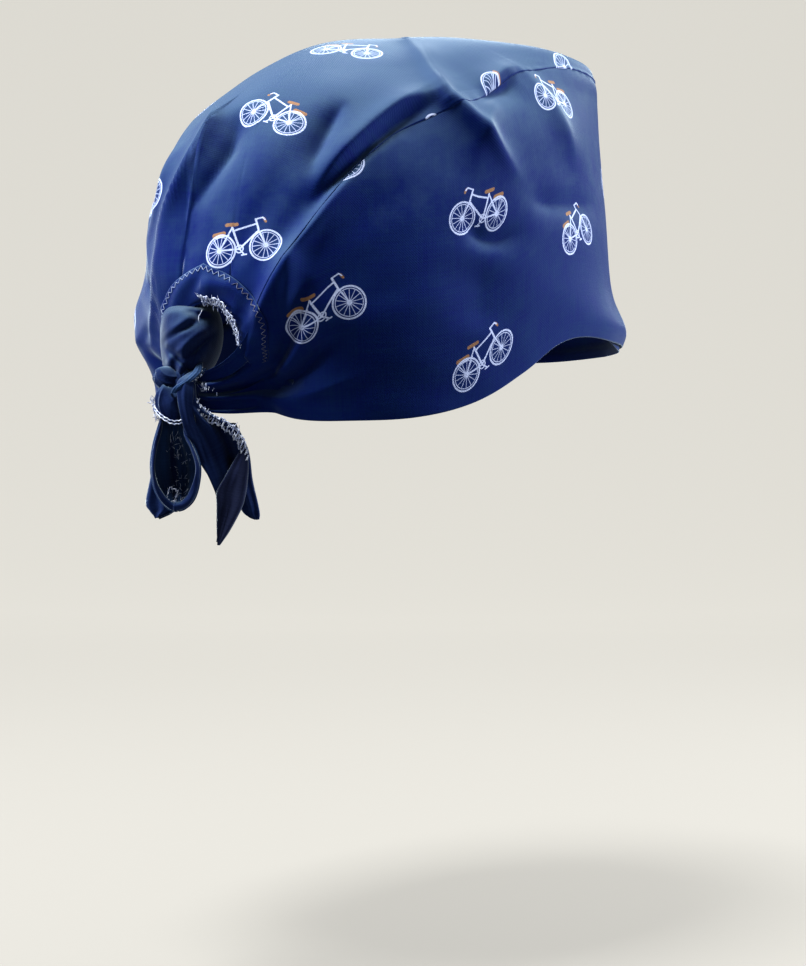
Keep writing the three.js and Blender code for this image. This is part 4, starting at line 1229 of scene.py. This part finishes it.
RIGHT_TAIL = [
    (0.5, -0.5, 4.5, 6.4, 7.4, 6.0),
    (-4.0, 0.0, 5.0, 6.6, 7.8, 5.6),
    (-7.6, 0.2, 7.4, 6.4, 7.2, 4.8),
    (-10.4, 0.4, 12.2, 6.0, 6.4, 4.0),
    (-12.6, 0.7, 16.4, 5.6, 5.6, 3.2),
    (-15.5, 1.6, 19.2, 5.2, 4.6, 2.4),
    (-19.5, 3.2, 20.8, 5.0, 3.4, 1.6),
    (-24.5, 5.6, 21.6, 4.6, 1.8, 0.8),
    (-31.0, 9.0, 21.4, 4.4, 1.2, 0.4),
    (-38.0, 11.4, 20.2, 3.6, 1.0, 0.4),
    (-47.0, 11.4, 15.8, 2.4, 1.0, 0.6),
    (-51.8, 11.3, 12.5, 1.6, 1.2, 1.0),
]
RIGHT_TURNED = [
    (-20.0, 19.6, 21.0, 1.9, 2.0, 1.8),
    (-25.5, 16.4, 21.7, 3.4, 3.2, 1.8),
    (-30.0, 14.0, 21.5, 4.8, 4.2, 1.6),
    (-35.0, 11.4, 20.9, 5.4, 4.4, 1.4),
    (-40.0, 11.3, 19.7, 4.8, 4.4, 1.6),
    (-47.6, 11.2, 15.8, 3.6, 3.6, 2.0),
    (-52.8, 11.4, 12.3, 2.4, 2.4, 2.2),
]
RIGHT_UNDER = [
    (-12.0, 8.0, 17.0, -3.0, -2.4, -3.2),
    (-21.0, 12.0, 21.2, -4.2, -3.4, -4.4),
    (-31.0, 15.0, 22.6, -4.8, -3.8, -4.8),
    (-39.0, 17.8, 24.4, -5.2, -4.4, -5.0),
    (-42.6, 19.8, 25.0, -5.2, -4.8, -5.0),
    (-44.4, 23.4, 24.8, -5.2, -5.0, -5.0),
]

left_tail = tie_strip(
    "left_tail", LEFT_TAIL, tie_inside, "tail_left", edge=-0.5, pleats=(0.45, 4, 0.8),
    furrows=[(-0.2, 0.12, 0.9, 0.1, 0.8), (0.3, 0.1, 0.6, 0.2, 0.9)],
)
tie_strip("left_tail_under", LEFT_UNDER, tie_cotton, "tail_left_under", pleats=(0.5, 2, 0.6))
right_tail = tie_strip(
    "right_tail", RIGHT_TAIL, tie_cotton, "tail_right", columns=61, lines=140, pleats=(0.4, 3, 0.9),
    furrows=[(0.3, 0.22, 3.2, 0.2, 0.75), (-0.35, 0.1, 0.7, 0.05, 0.7)],
)
tie_strip("right_tail_turned", RIGHT_TURNED, tie_turned, pleats=(0.35, 2, 0.5))
tie_strip("right_tail_under", RIGHT_UNDER, tie_cotton, "tail_right_under", pleats=(0.4, 2, 0.6))

# %% [markdown]
# The rim of the left leaf is its hem, rolled forwards. It follows the leaf's own outline, from the knot
# down one side and up the other, and stands proud like a soft cord that has been pressed flat.

# %% Roll the rim of the leaf
RIM_WIDTH = 2.9
RIM_PUFF = 1.1
RIM_LIFT = 0.2


def rim_points(outline, middle):
    """A rolled hem along an outline. It swells out, and is turned towards the middle."""
    line, _ = resampled(outline, 0.8)
    across = np.linspace(0, 1, 15)[None, :, None]
    inward = middle - line
    inward -= (inward * KNOT_OUT).sum(-1, keepdims=True) * KNOT_OUT
    inward /= np.linalg.norm(inward, axis=-1, keepdims=True)
    run = np.linspace(0, 1, len(line))[:, None, None]
    wide = RIM_WIDTH * (0.8 + 0.2 * np.sin(11 * run + 2)) * ease(np.minimum(run, 1 - run) / 0.06 + 0.25)
    roll = np.sin(np.pi * across) ** 0.6 * RIM_PUFF * (1 + 0.25 * np.sin(23 * run + 3 * across))
    return line[:, None] + inward[:, None] * (wide * across - 0.3) + KNOT_OUT * (roll + RIM_LIFT)


leaf_outline = np.concatenate([left_tail[0], left_tail[::-1, -1], left_tail[-1, ::-1]])
leaf_middle = left_tail[20, 50]
leaf_rim = rim_points(leaf_outline, leaf_middle)
rim_piece = grid_mesh("left_tail_rim", leaf_rim, strip_map(leaf_rim, 7, 0), flip=True)
dress(thicken(rim_piece), tie_cotton, "tie_cotton")

# %% Fray the tails
SERGE_STRAYS = 44
LEAF_FIBRES = 90

edge_heights = (right_tail[-1] - KNOT) @ UP
top_edge = right_tail[-1][(edge_heights < -4.5) & (edge_heights > -25)]
into_tail = -KNOT_RIGHT * 0.6 - UP * 0.8
serge = overlock(top_edge + KNOT_OUT, into_tail, KNOT_OUT, 2.9, SERGE_STRAYS, 2.0)
serge_radii = [0.24] * 3 + [0.12] * SERGE_STRAYS
tail_serge = tubes("right_tail_serge", serge, serge_radii, thread, "tie_cotton")

leaf_bits = []
for _ in range(LEAF_FIBRES):
    column, row = draw.integers(12, 33), draw.integers(18, 76)
    start = left_tail[column, row] + KNOT_OUT * 0.5
    way = KNOT_RIGHT * draw.normal(0, 1) + UP * draw.normal(0, 1.6)
    way *= draw.uniform(0.8, 2.6) / np.linalg.norm(way)
    t = np.linspace(0, 1, 6)[:, None]
    bend = KNOT_RIGHT * draw.normal() + KNOT_OUT * 0.8
    leaf_bits.append(start + way * t + bend * 1.2 * t * (1 - t))
corner = [(-4.4, -33.6), (-1.6, -34.6), (-2.6, -38.6), (-5.4, -37.6), (-4.4, -33.6)]
box = from_knot(*(np.array([c[k] for c in corner], float) for k in (0, 1)), 3.2)
box, _ = resampled(box, 0.5)
box = box + 0.35 * np.sin(np.arange(len(box)) * 2.2)[:, None] * (KNOT_RIGHT + UP)
leaf_radii = [0.08] * LEAF_FIBRES + [0.2]
leaf_threads = tubes("left_tail_threads", leaf_bits + [box], leaf_radii, thread, "tie_cotton")
print(f"fibres on the tails: {len(serge) + len(leaf_bits)}")

# %% [markdown]
# ## Lobes of bunched cloth
#
# Where cloth is bunched it swells into lobes with small pleats that run together at both ends. A
# lobe is a stretched ball with its two poles where the pleats meet. Pressing one side makes it less
# regular.

# %% A helper for a lobe
def lobe(name, node, centre, radii, turn, pleats, depth, lean=0.0, seed=0):
    """A pleated lobe. radii are across, along its poles and out; turn tilts its poles, in degrees."""
    longitude = np.linspace(0, 2 * np.pi, 120, endpoint=False)[:, None]
    latitude = np.linspace(-np.pi / 2, np.pi / 2, 72)[None, :]
    ring = np.cos(latitude) ** 0.8
    wander = longitude + 0.45 * np.sin(2.0 * latitude + seed) + 0.35 * np.sin(2 * longitude + seed)
    ridge = 1 - 2 * np.abs(np.sin(pleats / 2 * wander)) ** 0.7
    pleat = 1 + depth * ridge * (0.45 + 0.55 * np.abs(np.sin(latitude))) * ring
    across = radii[0] * ring * np.sin(longitude) * pleat
    out = radii[2] * ring * np.cos(longitude) * pleat
    up = radii[1] * np.sin(latitude) * (1 + 0.08 * np.sin(3 * longitude + seed))
    across = across + lean * np.cos(latitude) * out / radii[2]
    spin = np.radians(turn)
    right, high = across * np.cos(spin) - up * np.sin(spin), across * np.sin(spin) + up * np.cos(spin)
    points = from_knot(centre[0] + right, centre[1] + high, centre[2] + out)
    piece = grid_mesh(name, points, strip_map(points, points.shape[1] // 2, 0), closed=True)
    dress(piece, tie_cotton, "tie_cotton", *([node] if node else []))


# %% [markdown]
# ## The knot
#
# The knot shows a small pale lobe where the left tie comes over, a darker lobe below it whose lower
# border has a pale double thread, and the band of the right tie that goes over both and runs on into
# the right tail. A narrow serged strip lies across its top.

# %% Tie the knot
lobe("knot_core", "knot", (-0.5, -1.0, -0.5), (6.4, 7.4, 5.0), 10, 13, 0.08)
lobe("knot_upper_lobe", None, (-5.6, 2.4, 1.2), (4.2, 4.4, 3.8), 50, 7, 0.1, 0.4, 1)
lobe("knot_lower_lobe", "knot_wrap", (-4.3, -6.2, 3.4), (4.5, 6.6, 4.4), 16, 7, 0.12, -0.4, 2)
CROSSING = [
    (6.0, 3.6, 8.0, 0.6, 1.6, 0.6),
    (4.0, 1.2, 6.8, 4.0, 5.0, 3.0),
    (1.5, -1.4, 4.6, 6.4, 8.2, 5.6),
    (-2.5, -1.6, 4.2, 7.8, 9.4, 7.2),
    (-7.5, -1.0, 4.0, 7.4, 8.8, 7.0),
    (-13.0, 0.2, 5.0, 6.4, 7.4, 5.8),
    (-19.0, 2.4, 7.4, 5.2, 5.6, 4.2),
    (-25.0, 5.4, 9.4, 3.8, 3.8, 2.2),
    (-29.0, 7.8, 10.4, 2.2, 2.2, 0.8),
]
tie_strip("knot_crossing", CROSSING, tie_cotton, pleats=(0.3, 2, 0.8))
SERGED = [
    (8.0, 4.6, 6.4, 0.5, 1.0, 0.5),
    (4.6, 3.2, 6.4, 4.4, 5.2, 4.0),
    (1.8, 0.6, 4.2, 7.2, 8.2, 7.0),
    (-0.6, -2.4, 0.8, 8.2, 9.2, 8.2),
    (-2.6, -3.6, -1.0, 7.0, 7.6, 7.4),
]
serged = tie_strip("knot_serged_strip", SERGED, tie_inside, pleats=(0.25, 3, 0.5), wall=0.5)

# %% Threads of the knot
# right, up and out, from the knot
BORDER = [
    (-10.0, -5.6, 2.0), (-8.6, -8.6, 5.2), (-6.2, -10.9, 7.4), (-2.8, -12.7, 8.2), (0.4, -12.4, 8.0)
]
BORDER_POINTS = 60
BORDER_GAP = 1.0

right, up, out = smooth_rows(BORDER, BORDER_POINTS)[:, 0]
twist = np.arange(BORDER_POINTS)[:, None] * 0.9
wound = 0.12 * (np.sin(twist) * UP + np.cos(twist) * KNOT_OUT)
borders = [from_knot(right, up + rise, out) + wound for rise in (0, BORDER_GAP)]
tubes("knot_border", borders, 0.22, thread, "tie_cotton")

fray_line = from_knot(*np.linspace((-9.2, -3.5, 2.5), (-7.4, -11.5, 4.0), 20).T)
knot_fray = overlock(fray_line, -KNOT_RIGHT, KNOT_OUT, 1.3, 60, 2.2)
bits_line = from_knot(*np.linspace((6.5, -0.2, 4.5), (12, -2.6, 3.8), 20).T)
knot_fray += overlock(bits_line, UP, KNOT_OUT, 0.5, 10, 1.4)[3:]
serge_line = serged[-1][10:70]
knot_fray += overlock(serge_line, -KNOT_RIGHT, KNOT_OUT, 0.9, 20, 1.2)[1:]
tubes("knot_fray", knot_fray, 0.11, thread, "tie_cotton")
print(f"fibres on the knot: {len(knot_fray)}")

# %% [markdown]
# ## The gathered fold
#
# Between the hem and the knot a gather swells out of the opening. Its rows run from under the hem down
# into the knot. A dent near its top, two rolls across it and pleats towards the knot show that it is
# soft.

# %% Swell the gathered fold
# up, left, right and how far out, all from the knot
PUFF = [
    (28.5, -4.0, 7.5, -9.0),
    (27.0, -7.0, 9.6, -3.5),
    (24.5, -8.6, 11.2, 1.6),
    (20.0, -9.2, 12.0, 4.0),
    (15.5, -9.2, 11.8, 4.6),
    (11.0, -8.8, 10.6, 4.4),
    (6.5, -8.0, 8.2, 3.6),
    (2.5, -6.0, 5.0, 2.2),
    (-1.0, -3.5, 2.5, 0.5),
]
PUFF_BACK = -13.0  # how far out its two edges lie
# middle across, middle along, slope, width along, reach across, and how far in
PUFF_CREASES = [
    (0.35, 0.27, 0.1, 0.055, 0.35, 3.0),
    (-0.1, 0.4, -0.16, 0.04, 0.8, 1.7),
    (0.5, 0.52, -0.3, 0.045, 0.5, 1.6),
    (-0.3, 0.66, 0.2, 0.04, 0.7, 1.5),
    (0.1, 0.3, -0.2, 0.06, 0.8, -1.0),
    (0.0, 0.55, -0.25, 0.05, 0.9, -0.9),
]

PUFF_COLUMNS, PUFF_LINES = 121, 150
puff_up, puff_left, puff_right, puff_out = smooth_rows(PUFF, PUFF_LINES)
puff_turn = np.linspace(-1, 1, PUFF_COLUMNS)[:, None] * np.radians(100)
puff_across, puff_dome = np.sin(puff_turn), np.cos(puff_turn)
puff_run = np.linspace(0, 1, PUFF_LINES)[None, :]
puff_half = (puff_right - puff_left) / 2
crease = 0
for across, run, slope, width, reach, depth in PUFF_CREASES:
    off = (puff_run - run - slope * (puff_across - across)) / width
    crease = crease + depth * np.exp(-(off**2) - ((puff_across - across) / reach) ** 2)
pleat = 0.8 * np.sin(11 * puff_across + 3 * puff_run) * ease(puff_run / 0.4 - 1)
puff_depth = PUFF_BACK + (puff_out - PUFF_BACK - crease + pleat) * np.maximum(puff_dome, -0.2)
puff_points = from_knot((puff_left + puff_right) / 2 + puff_half * puff_across, puff_up, puff_depth)
puff_points = puff_points + (0.5 * noise_at(puff_points / 5))[..., None] * KNOT_OUT
puff_map = strip_map(puff_points, PUFF_COLUMNS // 2, 0)
puff_cloth = grid_mesh("gathered_cloth", puff_points, puff_map)
dress(thicken(puff_cloth), tie_cotton, "tie_cotton", "gathered_fold")
short_thread = from_knot(*np.array([
    (6.4, 25.4, 2.4), (6.2, 24.2, 4.6), (5.6, 23.0, 5.2), (5.5, 21.8, 5.3), (5.7, 20.8, 5.2)
]).T)
loose_thread = tubes("gathered_thread", [short_thread], 0.16, thread, "tie_cotton")

# %% [markdown]
# The lobes of the knot are bunched cloth that has closed on itself, so they count as padded.


# %% [markdown]
# ## The stage
#
# The cap is looked at from every side, so the pale floor is round and rises into a wall all about it,
# with no line where they meet. The wall glows behind the cap, as a lit wall does, and less so on the
# viewer's side, where it would flatten the folds. A flat floor with a square sheet behind it would
# show its corner from the side.

# %% Build the round floor and its wall
FLOOR = -0.225
FLOOR_RADIUS = 1.5
WALL_CURVE = 1.0
WALL_TOP = 3.0
STAGE_SIDES = 96

profile = [(0.3, FLOOR), (0.9, FLOOR), (FLOOR_RADIUS, FLOOR)]
profile += [
    (FLOOR_RADIUS + WALL_CURVE * np.sin(a), FLOOR + WALL_CURVE * (1 - np.cos(a)))
    for a in np.linspace(0, np.pi / 2, 24)[1:]
]
profile.append((FLOOR_RADIUS + WALL_CURVE, WALL_TOP))
turns = np.linspace(0, 2 * np.pi, STAGE_SIDES, endpoint=False)
corners = [(r * np.cos(a), r * np.sin(a), z) for r, z in profile for a in turns]
faces = [
    (k * STAGE_SIDES + a, k * STAGE_SIDES + (a + 1) % STAGE_SIDES,
     (k + 1) * STAGE_SIDES + (a + 1) % STAGE_SIDES, (k + 1) * STAGE_SIDES + a)[::-1]
    for k in range(len(profile) - 1)
    for a in range(STAGE_SIDES)
]
faces.append(tuple(range(STAGE_SIDES)))
backdrop_mesh = bpy.data.meshes.new("backdrop")
backdrop_mesh.from_pydata(corners, [], faces)
backdrop_mesh.shade_smooth()
backdrop = bpy.data.objects.new("backdrop", backdrop_mesh)
bpy.context.scene.collection.objects.link(backdrop)

plaster, plaster_recipe, plaster_shader = new_material("pale plaster")
spot = plaster_recipe.add("NewGeometry", {}, "Position")
behind = plaster_recipe.vector("DOT_PRODUCT", spot, tuple(look), output=1)
glow = plaster_recipe.spread(behind, -1.0, 1.6, 0.2, 0.62)
plaster_recipe.feed(plaster_shader, {
    "Base Color": (0.09, 0.089, 0.085, 1),
    "Roughness": 0.9,
    "Emission Color": (0.83, 0.81, 0.75, 1),
    "Emission Strength": glow,
})
backdrop.data.materials.append(plaster)


# %% Hang the lights
def soft_light(name, place, size, watts, colour=(1, 1, 1)):
    """A square area light that faces the cap."""
    lamp = bpy.data.lights.new(name, "AREA")
    lamp.size, lamp.energy, lamp.color = size, watts, colour
    light = bpy.data.objects.new(name, lamp)
    light.location = place
    light.rotation_euler = (Vector((0, 0, 0.03)) - light.location).to_track_quat("-Z", "Y").to_euler()
    bpy.context.scene.collection.objects.link(light)


right_way = look.cross(Vector(UP)).normalized()
soft_light("ceiling", Vector((0, 0, 1.3)) - right_way * 0.3 - look * 0.3, 0.4, 44, (1, 0.98, 0.93))
soft_light("left window", -right_way * 1.3 - look * 0.2 + Vector((0, 0, 0.55)), 0.5, 34)
soft_light("right window", right_way * 1.3 + look * 0.1 + Vector((0, 0, 0.45)), 0.5, 42)
world = bpy.data.worlds.new("room")
bpy.context.scene.world = world
world.use_nodes = True
sky = world.node_tree.nodes["Background"]
Recipe(world.node_tree).feed(sky, {"Color": (0.9, 0.89, 0.86, 1), "Strength": 0.14})
bpy.context.scene.view_settings.view_transform = "Standard"
bpy.context.scene.view_settings.look = "Medium High Contrast"
